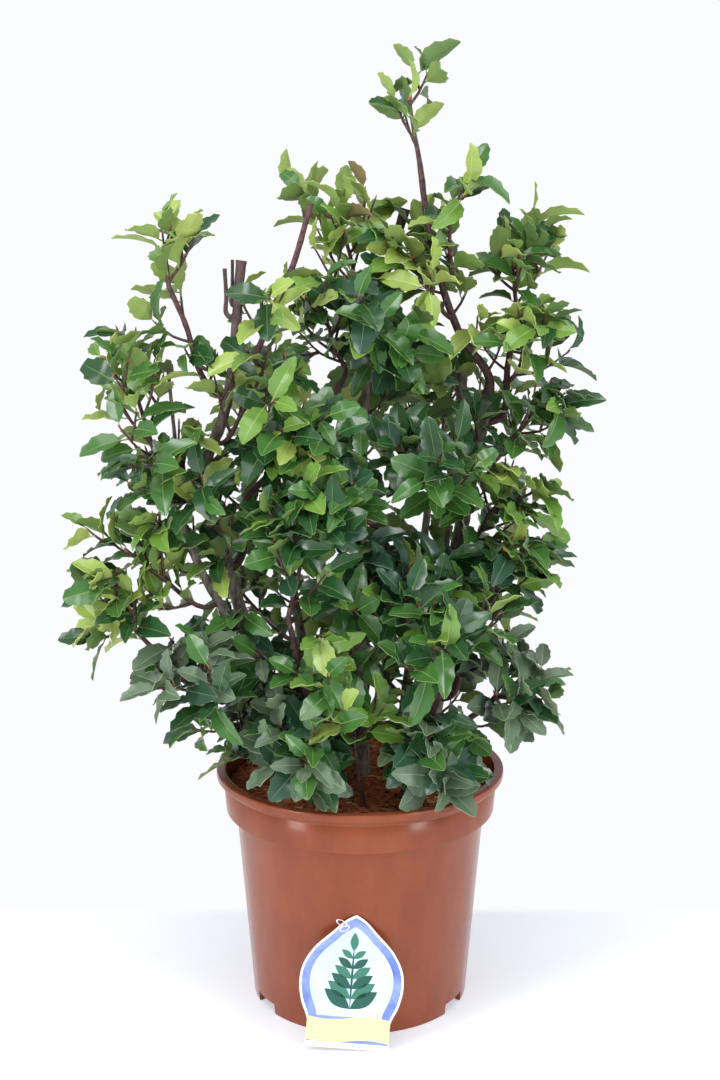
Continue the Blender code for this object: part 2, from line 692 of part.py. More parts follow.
def make_masses(grown, neighbours, material):
    """Every mass of foliage, each in the space that lies nearer to its own centre than to any other's."""
    stem_paths = []
    stems = []
    for mass in MASSES:
        limb = grown[mass.limb]
        towards = Vector(mass.through[0] if mass.through else mass.tip)
        first_points, cut_point, cut_way = leaving(limb, mass.at, towards, STEM_BASE_RADIUS)
        path = shoot_path(first_points, mass.through, mass.tip, STEM_RING_SPACING)
        stem = tube(path, STEM_BASE_RADIUS, STEM_TIP_RADIUS, STEM_SIDES)
        stem_paths.append(path)
        stems.append(seated(stem, cut_point, cut_way, limb))
    centres = [point_along(path, CENTRE_POSITION)[0] for path in stem_paths]
    fixed = [solid_copy(made) for made in neighbours]
    leaf_total = 0
    for number, mass in enumerate(MASSES):
        rng = random.Random(FIRST_SEED + number)
        path, stem, own = stem_paths[number], stems[number], centres[number]
        obstacles = search_tree(fixed + [other for other in stems if other is not stem])
        twig_paths, twigs = grow_twigs(mass, path, own, centres, obstacles, rng)
        spots = leaf_spots([path] + twig_paths, mass.leaves)
        leaves = grow_leaves(spots, [stem] + twigs, own, centres, obstacles, rng)
        leaf_total += len(leaves)
        join_mass(mass.name, stem.copy(), twigs + leaves, material)
    for bm in fixed + stems:
        bm.free()
    print("leaves:", leaf_total)


def main():
    clear_scene()
    plastic = make_material("terracotta plastic", (0.42, 0.12, 0.065), 0.28)
    peat = make_material("peat soil", (0.11, 0.045, 0.025), 0.95)
    coated_card = make_material("coated card", (0.62, 0.74, 0.88), 0.40)
    bark = make_material("bark", (0.12, 0.085, 0.075), 0.75)
    leaf = make_material("holly leaf", (0.045, 0.16, 0.045), 0.35)
    pot = make_pot(plastic)
    soil = make_soil(peat)
    card = make_card(coated_card)
    grown = make_limbs(bark)
    limbs = [bpy.data.objects[limb.name] for limb in LIMBS]
    make_masses(grown, [pot, soil, card] + limbs, leaf)


main()
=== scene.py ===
# %% [markdown]
# A blue holly shrub stands in a terracotta-coloured nursery pot. Its woody stems rise from the soil, fork,
# and carry masses of small glossy leaves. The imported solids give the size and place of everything. This
# script first loads them as a frame. It then replaces each by a piece with the real surface: bark, leaves,
# fibrous soil and moulded plastic.

import json
import math
import random
from collections import namedtuple

import bmesh
import bpy
from mathutils import Matrix, Vector, noise
from mathutils.kdtree import KDTree

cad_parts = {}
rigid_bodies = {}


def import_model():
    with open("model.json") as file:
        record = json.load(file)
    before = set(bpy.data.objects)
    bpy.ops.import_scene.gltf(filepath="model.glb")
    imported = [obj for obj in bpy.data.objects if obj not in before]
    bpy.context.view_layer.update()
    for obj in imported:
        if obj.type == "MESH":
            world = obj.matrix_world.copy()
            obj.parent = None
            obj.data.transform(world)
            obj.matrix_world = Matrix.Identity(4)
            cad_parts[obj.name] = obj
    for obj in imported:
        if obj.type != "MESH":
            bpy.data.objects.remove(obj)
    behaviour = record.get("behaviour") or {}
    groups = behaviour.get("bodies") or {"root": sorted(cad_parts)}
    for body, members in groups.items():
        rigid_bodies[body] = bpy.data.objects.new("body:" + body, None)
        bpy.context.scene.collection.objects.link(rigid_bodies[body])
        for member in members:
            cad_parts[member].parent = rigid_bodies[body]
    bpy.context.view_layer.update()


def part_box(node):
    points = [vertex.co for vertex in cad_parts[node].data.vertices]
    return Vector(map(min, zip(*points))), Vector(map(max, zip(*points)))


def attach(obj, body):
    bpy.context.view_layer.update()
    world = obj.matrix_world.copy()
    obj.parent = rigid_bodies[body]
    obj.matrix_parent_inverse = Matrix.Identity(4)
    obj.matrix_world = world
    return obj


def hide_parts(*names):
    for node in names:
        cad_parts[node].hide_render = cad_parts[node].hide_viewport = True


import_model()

# %% [markdown]
# The camera stands where the picture was taken from, above the middle of the plant, and is tilted down by
# about twelve degrees. Its lens is given on the picture's long side, which is upright here, so the sensor
# is fitted vertically.

# %% Camera
CAMERA_PLACE = (0.0, -1.217, 0.616)
CAMERA_PITCH = math.radians(11.72)
LENS_MM = 54.55
SENSOR_MM = 36.0


def added_object(name, data):
    """An object with the given data, linked to the scene."""
    made = bpy.data.objects.new(name, data)
    bpy.context.scene.collection.objects.link(made)
    return made


lens = bpy.data.cameras.new("camera")
lens.sensor_fit = "VERTICAL"
lens.sensor_height = SENSOR_MM
lens.lens = LENS_MM
camera = added_object("camera", lens)
camera.location = CAMERA_PLACE
camera.rotation_euler = (math.pi / 2 - CAMERA_PITCH, 0.0, 0.0)
bpy.context.scene.camera = camera
print("camera:", CAMERA_PLACE, "lens", LENS_MM)

# %% [markdown]
# The studio is bright and nearly shadowless. The world lights everything softly from all sides, and looks
# white behind the plant. Three soft area lights give shape: two upright strips for the long pale
# reflections on the pot and the leaves, and one panel overhead. Colours are shown as they are, without a
# film curve, so that white stays white.

# %% World and lights
WORLD_COLOUR = (0.93, 0.96, 1.0, 1.0)
WORLD_STRENGTH = 0.58
BACKGROUND_WHITE = (0.97, 0.975, 1.0, 1.0)
AreaLight = namedtuple("AreaLight", "name place aim width height watts")
AREA_LIGHTS = (
    AreaLight("left_strip", (-1.25, -1.05, 0.75), (0.0, 0.0, 0.30), 0.40, 1.7, 17.0),
    AreaLight("right_strip", (1.15, -1.10, 0.80), (0.0, 0.0, 0.30), 0.35, 1.6, 14.0),
    AreaLight("overhead", (-0.2, -0.6, 1.9), (0.0, 0.0, 0.40), 1.4, 1.2, 15.0),
)

world = bpy.data.worlds.new("studio")
world.use_nodes = True
ambient = world.node_tree.nodes["Background"]
ambient.inputs["Color"].default_value = WORLD_COLOUR
ambient.inputs["Strength"].default_value = WORLD_STRENGTH
backing = world.node_tree.nodes.new("ShaderNodeBackground")
backing.inputs["Color"].default_value = BACKGROUND_WHITE
seen = world.node_tree.nodes.new("ShaderNodeLightPath")
choose = world.node_tree.nodes.new("ShaderNodeMixShader")
outlet = world.node_tree.nodes["World Output"]
world.node_tree.links.new(seen.outputs["Is Camera Ray"], choose.inputs["Fac"])
world.node_tree.links.new(ambient.outputs["Background"], choose.inputs[1])
world.node_tree.links.new(backing.outputs["Background"], choose.inputs[2])
world.node_tree.links.new(choose.outputs["Shader"], outlet.inputs["Surface"])
bpy.context.scene.world = world
bpy.context.scene.view_settings.view_transform = "Standard"
for light in AREA_LIGHTS:
    lamp = bpy.data.lights.new(light.name, "AREA")
    lamp.shape = "RECTANGLE"
    lamp.size = light.width
    lamp.size_y = light.height
    lamp.energy = light.watts
    lamp_object = added_object(light.name, lamp)
    lamp_object.location = light.place
    aim = Vector(light.aim) - Vector(light.place)
    lamp_object.rotation_euler = aim.to_track_quat("-Z", "Y").to_euler()
print("lights:", [light.name for light in AREA_LIGHTS])

# %% [markdown]
# Colours are written as they look on a screen, from 0 to 255, and turned into the linear values that
# Blender's shaders work with. A plain material has one colour all over. Leaves use plain ones, because
# their variety comes from sprays of different tints, as on a real shrub where young shoots are yellow-green
# and old leaves are dark.

# %% Colours and plain materials
COAT_ROUGHNESS = 0.2


def paint(red, green, blue):
    """A screen colour as linear values with full opacity."""
    linear = [((value / 255 + 0.055) / 1.055) ** 2.4 for value in (red, green, blue)]
    return (*linear, 1.0)


def plain_material(name, colour, roughness, coat=0.0):
    """A material with one colour all over, and a clear coat where it is glossy."""
    material = bpy.data.materials.new(name)
    material.use_nodes = True
    shader = material.node_tree.nodes["Principled BSDF"]
    shader.inputs["Base Color"].default_value = colour
    shader.inputs["Roughness"].default_value = roughness
    shader.inputs["Coat Weight"].default_value = coat
    shader.inputs["Coat Roughness"].default_value = COAT_ROUGHNESS
    material.diffuse_color = colour
    return material


print("middle grey as linear values:", [round(value, 3) for value in paint(128, 128, 128)])

# %% [markdown]
# Bark, soil, plastic and the card's tinted areas are never one flat colour. They share one effect, a
# mottle: broad noise that mixes a dark and a light colour, and fine noise that feeds a small bump. Each
# material could have its own noise nodes, but a node group is built once, and each material places it with
# its own scale.

# %% The mottle group
MASK_DETAIL = 5.0
MASK_ROUGHNESS = 0.62
MASK_LOW = 0.36
MASK_HIGH = 0.64
FINE_DETAIL = 3.0
FINER_BY = 4.0


def make_mottle():
    """The node group: a mask that mixes two colours, and a finer height for a bump."""
    group = bpy.data.node_groups.new("mottle", "ShaderNodeTree")
    group.interface.new_socket("Coordinates", in_out="INPUT", socket_type="NodeSocketVector")
    group.interface.new_socket("Scale", in_out="INPUT", socket_type="NodeSocketFloat")
    group.interface.new_socket("Mask", in_out="OUTPUT", socket_type="NodeSocketFloat")
    group.interface.new_socket("Height", in_out="OUTPUT", socket_type="NodeSocketFloat")
    nodes = group.nodes
    inlet = nodes.new("NodeGroupInput")
    outlet = nodes.new("NodeGroupOutput")
    broad = nodes.new("ShaderNodeTexNoise")
    broad.inputs["Detail"].default_value = MASK_DETAIL
    broad.inputs["Roughness"].default_value = MASK_ROUGHNESS
    sharpen = nodes.new("ShaderNodeMapRange")
    sharpen.inputs["From Min"].default_value = MASK_LOW
    sharpen.inputs["From Max"].default_value = MASK_HIGH
    finer = nodes.new("ShaderNodeMath")
    finer.operation = "MULTIPLY"
    finer.inputs[1].default_value = FINER_BY
    fine = nodes.new("ShaderNodeTexNoise")
    fine.inputs["Detail"].default_value = FINE_DETAIL
    links = group.links
    links.new(inlet.outputs["Coordinates"], broad.inputs["Vector"])
    links.new(inlet.outputs["Scale"], broad.inputs["Scale"])
    links.new(inlet.outputs["Coordinates"], fine.inputs["Vector"])
    links.new(inlet.outputs["Scale"], finer.inputs[0])
    links.new(finer.outputs["Value"], fine.inputs["Scale"])
    links.new(broad.outputs["Fac"], sharpen.inputs["Value"])
    links.new(sharpen.outputs["Result"], outlet.inputs["Mask"])
    links.new(fine.outputs["Fac"], outlet.inputs["Height"])
    return group


mottle = make_mottle()
print("node group:", mottle.name)

# %% [markdown]
# A mottled material places the group, and stretches its pattern along one axis where the real thing has a
# grain. Young shoots are purple-brown all over, their buds are red-brown, and cut ends show paler wood.

# %% Mottled materials
BUMP_HEIGHT = 0.001


def colour_mix(tree, share, first, second):
    """A node that mixes two colours by a share, which is the output of another node."""
    mix = tree.nodes.new("ShaderNodeMix")
    mix.data_type = "RGBA"
    mix.inputs["A"].default_value = first
    mix.inputs["B"].default_value = second
    tree.links.new(share, mix.inputs["Factor"])
    return mix


def mottled_material(name, dark, light, roughness, scale, bump, stretch=(1.0, 1.0, 1.0)):
    """A material whose colour runs between a dark and a light one, with a fine bump."""
    material = plain_material(name, light, roughness)
    tree = material.node_tree
    shader = tree.nodes["Principled BSDF"]
    coordinates = tree.nodes.new("ShaderNodeTexCoord")
    mapping = tree.nodes.new("ShaderNodeMapping")
    mapping.inputs["Scale"].default_value = stretch
    pattern = tree.nodes.new("ShaderNodeGroup")
    pattern.node_tree = mottle
    pattern.inputs["Scale"].default_value = scale
    blend = colour_mix(tree, pattern.outputs["Mask"], dark, light)
    relief = tree.nodes.new("ShaderNodeBump")
    relief.inputs["Strength"].default_value = bump
    relief.inputs["Distance"].default_value = BUMP_HEIGHT
    tree.links.new(coordinates.outputs["Object"], mapping.inputs["Vector"])
    tree.links.new(mapping.outputs["Vector"], pattern.inputs["Coordinates"])
    tree.links.new(pattern.outputs["Height"], relief.inputs["Height"])
    tree.links.new(blend.outputs["Result"], shader.inputs["Base Color"])
    tree.links.new(relief.outputs["Normal"], shader.inputs["Normal"])
    return material


young_bark = mottled_material(
    "young shoot", paint(52, 33, 40), paint(104, 68, 62), roughness=0.55, scale=300.0, bump=0.3
)
bud_skin = plain_material("bud", paint(150, 74, 58), roughness=0.45)
cut_wood = mottled_material(
    "cut wood", paint(96, 68, 58), paint(142, 112, 90), roughness=0.8, scale=900.0, bump=0.3
)
print("young wood:", [material.name for material in (young_bark, bud_skin, cut_wood)])

# %% [markdown]
# Old bark changes with height: it is grey-brown near the soil, and purple-brown towards the cut tops. Two
# materials would meet in a hard line, so one material mixes both colours by a ramp along its height.

# %% Bark that changes with height
PURPLE_FROM = 0.45
PURPLE_TO = 0.55
PURPLE_SHARE = 0.8
BARK_GRAIN = (1.0, 1.0, 0.35)


def ramp_along(tree, axis, low, high, most=1.0):
    """A node whose value rises from nothing to its most between two places along an axis."""
    place = tree.nodes.new("ShaderNodeTexCoord")
    split = tree.nodes.new("ShaderNodeSeparateXYZ")
    ramp = tree.nodes.new("ShaderNodeMapRange")
    ramp.inputs["From Min"].default_value = low
    ramp.inputs["From Max"].default_value = high
    ramp.inputs["To Max"].default_value = most
    tree.links.new(place.outputs["Object"], split.inputs["Vector"])
    tree.links.new(split.outputs[axis], ramp.inputs["Value"])
    return ramp


def tint_with_height(material, colour):
    """Mixes a second colour into a mottled material where it stands high in the plant."""
    tree = material.node_tree
    shader = tree.nodes["Principled BSDF"]
    source = shader.inputs["Base Color"].links[0].from_socket
    ramp = ramp_along(tree, "Z", PURPLE_FROM, PURPLE_TO, PURPLE_SHARE)
    blend = colour_mix(tree, ramp.outputs["Result"], colour, colour)
    tree.links.new(source, blend.inputs["A"])
    tree.links.new(blend.outputs["Result"], shader.inputs["Base Color"])


old_bark = mottled_material(
    "bark",
    paint(76, 64, 60),
    paint(150, 136, 124),
    roughness=0.72,
    scale=240.0,
    bump=0.5,
    stretch=BARK_GRAIN,
)
tint_with_height(old_bark, paint(66, 44, 48))
print("old bark turns purple from", PURPLE_FROM, "to", PURPLE_TO, "m")

# %% [markdown]
# Each piece is shaped in a bmesh. The last step is always the same, so it is one function: the mesh becomes
# an object at the origin, its faces are shaded smooth but for real edges, and it rides on the one rigid
# body.

# %% Finishing a piece
EDGE_ANGLE = 38.0
WOOD_EDGE_ANGLE = 60.0
LEAF_EDGE_ANGLE = 44.0
ALL_SMOOTH = 180.0


def as_mesh(bm, name):
    """A mesh made from a bmesh, which is freed."""
    mesh = bpy.data.meshes.new(name)
    bm.to_mesh(mesh)
    bm.free()
    return mesh


def finished(bm, name, materials, edge_angle=EDGE_ANGLE):
    """Turns a bmesh into a piece that rides on the rigid body, and says how many faces it has."""
    mesh = as_mesh(bm, name)
    for material in materials:
        mesh.materials.append(material)
    mesh.shade_smooth()
    mesh.set_sharp_from_angle(angle=math.radians(edge_angle))
    piece = added_object(name, mesh)
    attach(piece, "root")
    print(name, "faces:", len(mesh.polygons))
    return piece


def add_solid(whole, solid):
    """Adds one bmesh to another and frees it."""
    carrier = as_mesh(solid, "carrier")
    whole.from_mesh(carrier)
    bpy.data.meshes.remove(carrier)


print("edges stay sharp from", EDGE_ANGLE, "degrees")

# %% [markdown]
# The floor is a plain pale sheet, which doesn't ride on the plant's body. Just behind the pot it turns to
# the same bright white as the background. The picture then has the faint line where a table meets a white
# wall, and no wall is needed that would stand in the way of other views.

# %% Floor
FLOOR_SIZE = 8.0
FLOOR_COLOUR = paint(232, 236, 242)
FLOOR_GLOW = paint(146, 148, 154)
FLOOR_ROUGHNESS = 0.45
BLACK = paint(0, 0, 0)
TABLE_EDGE = 0.135
EDGE_BLUR = 0.006

pale_floor = plain_material("pale floor", FLOOR_COLOUR, FLOOR_ROUGHNESS)
floor_tree = pale_floor.node_tree
floor_shader = floor_tree.nodes["Principled BSDF"]
floor_step = ramp_along(floor_tree, "Y", TABLE_EDGE - EDGE_BLUR, TABLE_EDGE + EDGE_BLUR)
for socket, near, far in (
    ("Base Color", FLOOR_COLOUR, BLACK),
    ("Emission Color", FLOOR_GLOW, BACKGROUND_WHITE),
):
    floor_blend = colour_mix(floor_tree, floor_step.outputs["Result"], near, far)
    floor_tree.links.new(floor_blend.outputs["Result"], floor_shader.inputs[socket])
floor_shader.inputs["Emission Strength"].default_value = 1.0
floor_shader.inputs["Specular IOR Level"].default_value = 0.0
floor_sheet = bmesh.new()
bmesh.ops.create_grid(floor_sheet, x_segments=1, y_segments=1, size=FLOOR_SIZE / 2)
floor_mesh = as_mesh(floor_sheet, "floor")
floor_mesh.materials.append(pale_floor)
floor = added_object("floor", floor_mesh)
print("floor:", FLOOR_SIZE, "m square")

# %% [markdown]
# The pot is moulded plastic, a turned shape: a foot ring, a tapering body, a broad collar and a rolled lip.
# It could be stacked from cones, but one profile spun round the axis gives the wall, the floor and the lip
# in a single closed skin. These are its sizes.

# %% The pot's sizes
POT_HEIGHT = 0.185
RIM_RADIUS = 0.1117
LIP_DROP = 0.007
COLLAR_RADIUS = 0.1065
COLLAR_FOOT_RADIUS = 0.1045
COLLAR_HEIGHT = 0.036
COLLAR_STEP = 0.004
COLLAR_FOOT = POT_HEIGHT - COLLAR_HEIGHT
BODY_TOP_RADIUS = 0.0965
FOOT_RADIUS = 0.0842
WALL = 0.0020
FLOOR_HEIGHT = 0.010
FOOT_WIDTH = 0.0040
PAD_RADIUS = 0.016
DRAFT = 0.0025
NOTCH_COUNT = 6
NOTCH_HEIGHT = 0.0085
NOTCH_WIDTH = 0.026
POT_STEPS = 144
ROUNDING = 0.0012
HAIRLINE_DEPTH = 0.00012
HAIRLINE_SPREAD = 1.6
HAIRLINES = (0.86,)

print("pot:", POT_HEIGHT, "m high,", 2 * RIM_RADIUS, "m across the rim")

# %% [markdown]
# Every corner of the profile is rounded before it is spun. A mould leaves no sharp edges, and those small
# roundings are what catch the light. A bevel of the finished shape could do this as well, but it is simpler
# to round a few points.

# %% Round a profile and spin it
LONGEST_ROUNDING = 0.45
MERGE_DISTANCE = 1e-6


def rounded(points, radius, steps=3):
    """A polyline with each inner corner replaced by a small curve."""
    soft = [Vector(points[0])]
    for before, corner, after in zip(points, points[1:], points[2:]):
        before, corner, after = Vector(before), Vector(corner), Vector(after)
        start = corner + (before - corner) * min(LONGEST_ROUNDING, radius / (before - corner).length)
        end = corner + (after - corner) * min(LONGEST_ROUNDING, radius / (after - corner).length)
        for step in range(steps + 1):
            part = step / steps
            soft.append(start.lerp(corner, part).lerp(corner.lerp(end, part), part))
    soft.append(Vector(points[-1]))
    return soft


def spin_round(bm, line, steps):
    """Spins a line once round the upright axis into a closed skin whose faces look outwards."""
    bmesh.ops.spin(
        bm,
        geom=line,
        cent=(0.0, 0.0, 0.0),
        axis=(0.0, 0.0, 1.0),
        angle=2.0 * math.pi,
        steps=steps,
        use_merge=True,
    )
    bmesh.ops.remove_doubles(bm, verts=bm.verts, dist=MERGE_DISTANCE)
    bmesh.ops.recalc_face_normals(bm, faces=bm.faces)


def turned(profile, steps):
    """A shape spun about the upright axis from a profile of (radius, height) points."""
    bm = bmesh.new()
    corners = [bm.verts.new((radius, 0.0, height)) for radius, height in profile]
    edges = [bm.edges.new(pair) for pair in zip(corners, corners[1:])]
    spin_round(bm, corners + edges, steps)
    return bm


def hairline(part):
    """Three profile points that press a fine line into the collar, at a part of the way up it."""
    low = COLLAR_FOOT + COLLAR_STEP
    height = low + (POT_HEIGHT - LIP_DROP - low) * part
    radius = COLLAR_FOOT_RADIUS + (COLLAR_RADIUS - COLLAR_FOOT_RADIUS) * part
    half = HAIRLINE_DEPTH * HAIRLINE_SPREAD
    return [(radius, height - half), (radius - HAIRLINE_DEPTH, height), (radius, height + half)]


print("hairline through:", hairline(HAIRLINES[0]))

# %% [markdown]
# The profile runs from the middle of the underside, up the outside, over the lip and down the inside. Six
# notches in the foot ring let water out. They aren't turned, so boxes cut them from the spun shape.

# %% Turn the pot and cut the notches in its foot
PLASTIC_GRAIN = (1.0, 1.0, 0.4)
PLASTIC_SHINE = 0.36


def pot_profile():
    """The outline of the pot's wall, from the middle of the underside round to the middle of the floor."""
    underside = FLOOR_HEIGHT - WALL
    collar_top = POT_HEIGHT - LIP_DROP
    body_at_floor = FOOT_RADIUS + (BODY_TOP_RADIUS - FOOT_RADIUS) * FLOOR_HEIGHT / COLLAR_FOOT
    foot = [(0.0, 0.0), (PAD_RADIUS, 0.0), (PAD_RADIUS + DRAFT, underside)]
    foot_inside = FOOT_RADIUS - FOOT_WIDTH
    foot += [(foot_inside - DRAFT, underside), (foot_inside, 0.0), (FOOT_RADIUS, 0.0)]
    body = [(BODY_TOP_RADIUS, COLLAR_FOOT), (COLLAR_FOOT_RADIUS, COLLAR_FOOT + COLLAR_STEP)]
    lines = [point for part in HAIRLINES for point in hairline(part)]
    lip = [(COLLAR_RADIUS, collar_top), (RIM_RADIUS, collar_top + ROUNDING), (RIM_RADIUS, POT_HEIGHT)]
    inside = [(COLLAR_RADIUS - WALL, POT_HEIGHT)]
    inside += [(COLLAR_FOOT_RADIUS - WALL, COLLAR_FOOT + COLLAR_STEP + WALL)]
    inside += [(BODY_TOP_RADIUS - WALL, COLLAR_FOOT + WALL), (body_at_floor - WALL, FLOOR_HEIGHT)]
    inside += [(0.0, FLOOR_HEIGHT)]
    return rounded(foot + body, ROUNDING) + [Vector(p) for p in lines] + rounded(lip + inside, ROUNDING)


def cut_notches(piece):
    """Cuts the six notches in the foot ring with Boolean boxes, and applies the cuts."""
    cutters = []
    for index in range(NOTCH_COUNT):
        turn = -math.pi / 2 + index * 2.0 * math.pi / NOTCH_COUNT
        place = Matrix.Rotation(turn, 4, "Z") @ Matrix.Translation((FOOT_RADIUS - FOOT_WIDTH / 2, 0.0, 0.0))
        size = Matrix.Diagonal((4.0 * FOOT_WIDTH, NOTCH_WIDTH, 2.0 * NOTCH_HEIGHT, 1.0))
        box = bmesh.new()
        bmesh.ops.create_cube(box, size=1.0, matrix=place @ size)
        cutter = added_object("notch", as_mesh(box, "notch"))
        cut = piece.modifiers.new("notch", "BOOLEAN")
        cut.operation = "DIFFERENCE"
        cut.object = cutter
        cutters.append(cutter)
    bpy.context.view_layer.update()
    shaped = piece.evaluated_get(bpy.context.evaluated_depsgraph_get())
    piece.data = bpy.data.meshes.new_from_object(shaped)
    piece.modifiers.clear()
    for cutter in cutters:
        bpy.data.objects.remove(cutter, do_unlink=True)


plastic = mottled_material(
    "terracotta plastic",
    paint(128, 61, 33),
    paint(142, 71, 40),
    roughness=0.2,
    scale=30.0,
    bump=0.012,
    stretch=PLASTIC_GRAIN,
)
plastic.node_tree.nodes["Principled BSDF"].inputs["Specular IOR Level"].default_value = PLASTIC_SHINE
pot = finished(turned(pot_profile(), POT_STEPS), "nursery_pot", [plastic])
cut_notches(pot)
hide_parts("pot")

# %% [markdown]
# The soil is reddish peat and coir. It fills the pot, so it is turned as well, with many rings on top that
# noise raises and lowers. One rule gives the height of the surface at any place, because whatever lies on
# the soil needs it too.

# %% The soil's surface
SOIL_TOP = 0.172
CLEARANCE = 0.0003
SOIL_RADIUS = COLLAR_FOOT_RADIUS - WALL - 2 * CLEARANCE
SOIL_RELIEF = 0.0028
SOIL_RINGS = 34
SOIL_STEPS = 120
SOIL_EDGE_DROP = 0.004
SURFACE_DEPTH = 0.001
BROAD_SCALE = 38.0
BROAD_SHARE = 0.75
FINE_SCALE = 330.0
FINE_LAYER = 0.4
FINE_SHARE = 0.35
FRACTAL_FALL = 0.9
FRACTAL_STEP = 2.0
FRACTAL_OCTAVES = 4


def soil_height(x, y):
    """The height of the soil's surface above its flat level."""
    broad = noise.fractal(Vector((x, y, 0.0)) * BROAD_SCALE, FRACTAL_FALL, FRACTAL_STEP, FRACTAL_OCTAVES)
    fine = noise.noise(Vector((x, y, FINE_LAYER)) * FINE_SCALE)
    return SOIL_RELIEF * (BROAD_SHARE * broad + FINE_SHARE * fine)


def make_soil():
    """The filling of the pot, with a rough surface."""
    bottom = FLOOR_HEIGHT + CLEARANCE
    wall = BODY_TOP_RADIUS - WALL - CLEARANCE
    side = [(0.0, bottom), (FOOT_RADIUS - WALL, bottom), (wall, COLLAR_FOOT + WALL)]
    side += [(SOIL_RADIUS, SOIL_TOP - SOIL_EDGE_DROP)]
    top = [(SOIL_RADIUS * (SOIL_RINGS - ring) / SOIL_RINGS, SOIL_TOP) for ring in range(SOIL_RINGS + 1)]
    bm = turned(side + top, SOIL_STEPS)
    for vert in bm.verts:
        if vert.co.z > SOIL_TOP - SURFACE_DEPTH:
            vert.co.z += soil_height(vert.co.x, vert.co.y)
    return bm


peat = mottled_material(
    "peat soil", paint(112, 50, 28), paint(216, 110, 62), roughness=0.95, scale=260.0, bump=0.9
)
soil = finished(make_soil(), "soil_bed", [peat], ALL_SMOOTH)
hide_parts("soil")

# %% [markdown]
# Loose fibres, bark chips and lumps make the surface look like coir. Noise alone would look like sand. Each
# kind is one small shape, copied many times at random places and turns, and joined into one piece.

# %% Fibres, chips and lumps on the soil
FIBRE_COUNT = 700
CHIP_COUNT = 130
LUMP_COUNT = 190
FIBRE_TAPER = 0.4
CHIP_BEVEL = 0.18
LITTER_RISE = 0.3
LITTER_TILT = 0.16
FIRST_SHADE_SHARE = 0.65
LITTER_MARGIN = 0.005
Litter = namedtuple("Litter", "name count seed shape size_low size_high")
LITTERS = (
    Litter("soil_fibres", FIBRE_COUNT, 11, "fibre", (0.0003, 0.0003, 0.005), (0.0007, 0.0006, 0.017)),
    Litter("soil_chips", CHIP_COUNT, 12, "chip", (0.0016, 0.0010, 0.005), (0.0036, 0.0018, 0.013)),
    Litter("soil_lumps", LUMP_COUNT, 13, "lump", (0.0012, 0.0012, 0.0012), (0.0035, 0.0030, 0.0035)),
)


def litter_shape(kind):
    """One small shape, about one unit long: a fibre, a chip with bevelled edges, or a lump."""
    bm = bmesh.new()
    if kind == "fibre":
        bmesh.ops.create_cone(bm, cap_ends=True, segments=4, radius1=1.0, radius2=FIBRE_TAPER, depth=1.0)
    elif kind == "chip":
        bmesh.ops.create_cube(bm, size=1.0)
        bmesh.ops.bevel(
            bm, geom=bm.edges[:], offset=CHIP_BEVEL, segments=1, profile=0.5, affect="EDGES", material=-1
        )
    else:
        bmesh.ops.create_icosphere(bm, subdivisions=1, radius=0.5)
    return bm


def scatter(litter):
    """Lays copies of a small shape on the soil, turned at random and tilted a little."""
    rng = random.Random(litter.seed)
    shape = as_mesh(litter_shape(litter.shape), litter.name)
    whole = bmesh.new()
    for _ in range(litter.count):
        distance = (SOIL_RADIUS - LITTER_MARGIN) * math.sqrt(rng.random())
        turn = rng.uniform(0.0, 2.0 * math.pi)
        x, y = distance * math.cos(turn), distance * math.sin(turn)
        size = [rng.uniform(low, high) for low, high in zip(litter.size_low, litter.size_high)]
        height = SOIL_TOP + soil_height(x, y) + LITTER_RISE * size[1]
        lay = Matrix.Rotation(rng.uniform(0.0, 2.0 * math.pi), 4, "Z")
        tilt = Matrix.Rotation(math.pi / 2 + rng.gauss(0.0, LITTER_TILT), 4, "X")
        copy = shape.copy()
        copy.transform(Matrix.Translation((x, y, height)) @ lay @ tilt @ Matrix.Diagonal((*size, 1.0)))
        tint = 0 if rng.random() < FIRST_SHADE_SHARE else 1
        copy.polygons.foreach_set("material_index", [tint] * len(copy.polygons))
        whole.from_mesh(copy)
        bpy.data.meshes.remove(copy)
    bpy.data.meshes.remove(shape)
    return whole


coir = plain_material("coir fibre", paint(176, 98, 56), roughness=0.85)
straw = plain_material("straw fibre", paint(202, 166, 112), roughness=0.8)
peat_lump = plain_material("peat lump", paint(58, 30, 20), roughness=0.95)
for litter in LITTERS:
    shades = [peat_lump, coir] if litter.shape == "lump" else [coir, straw]
    finished(scatter(litter), litter.name, shades)

# %% [markdown]
# A care card leans on the front of the pot. It is a thin coated sheet cut to an onion-dome outline. Half of
# the outline is a smooth curve through a few points, and the other half mirrors it. The same smooth curve
# later draws every stem.

# %% The card's sizes and outline
CARD_WIDTH = 0.077
CARD_HEIGHT = 0.100
CARD_THICKNESS = 0.0008
CARD_LEAN = math.radians(9.5)
CARD_TURN = math.radians(4.5)
LAYER = 0.00012
DOME = (
    (0.0, 1.0), (0.16, 0.965), (0.45, 0.86), (0.78, 0.73), (0.96, 0.60),
    (1.0, 0.47), (0.94, 0.34), (0.80, 0.20), (0.78, 0.10), (0.84, 0.0),
)
DOME_CENTRE = 0.55
DOME_STEP = 0.002


def curve_slopes(points):
    """The slope, per metre, of the smooth curve through the points at each of them."""
    chords = [there - here for here, there in zip(points, points[1:])]
    slopes = [chords[0].normalized()]
    for before, after in zip(chords, chords[1:]):
        shorter_counts_more = before.normalized() * after.length + after.normalized() * before.length
        slopes.append(shorter_counts_more / (before.length + after.length))
    slopes.append(chords[-1].normalized())
    return slopes


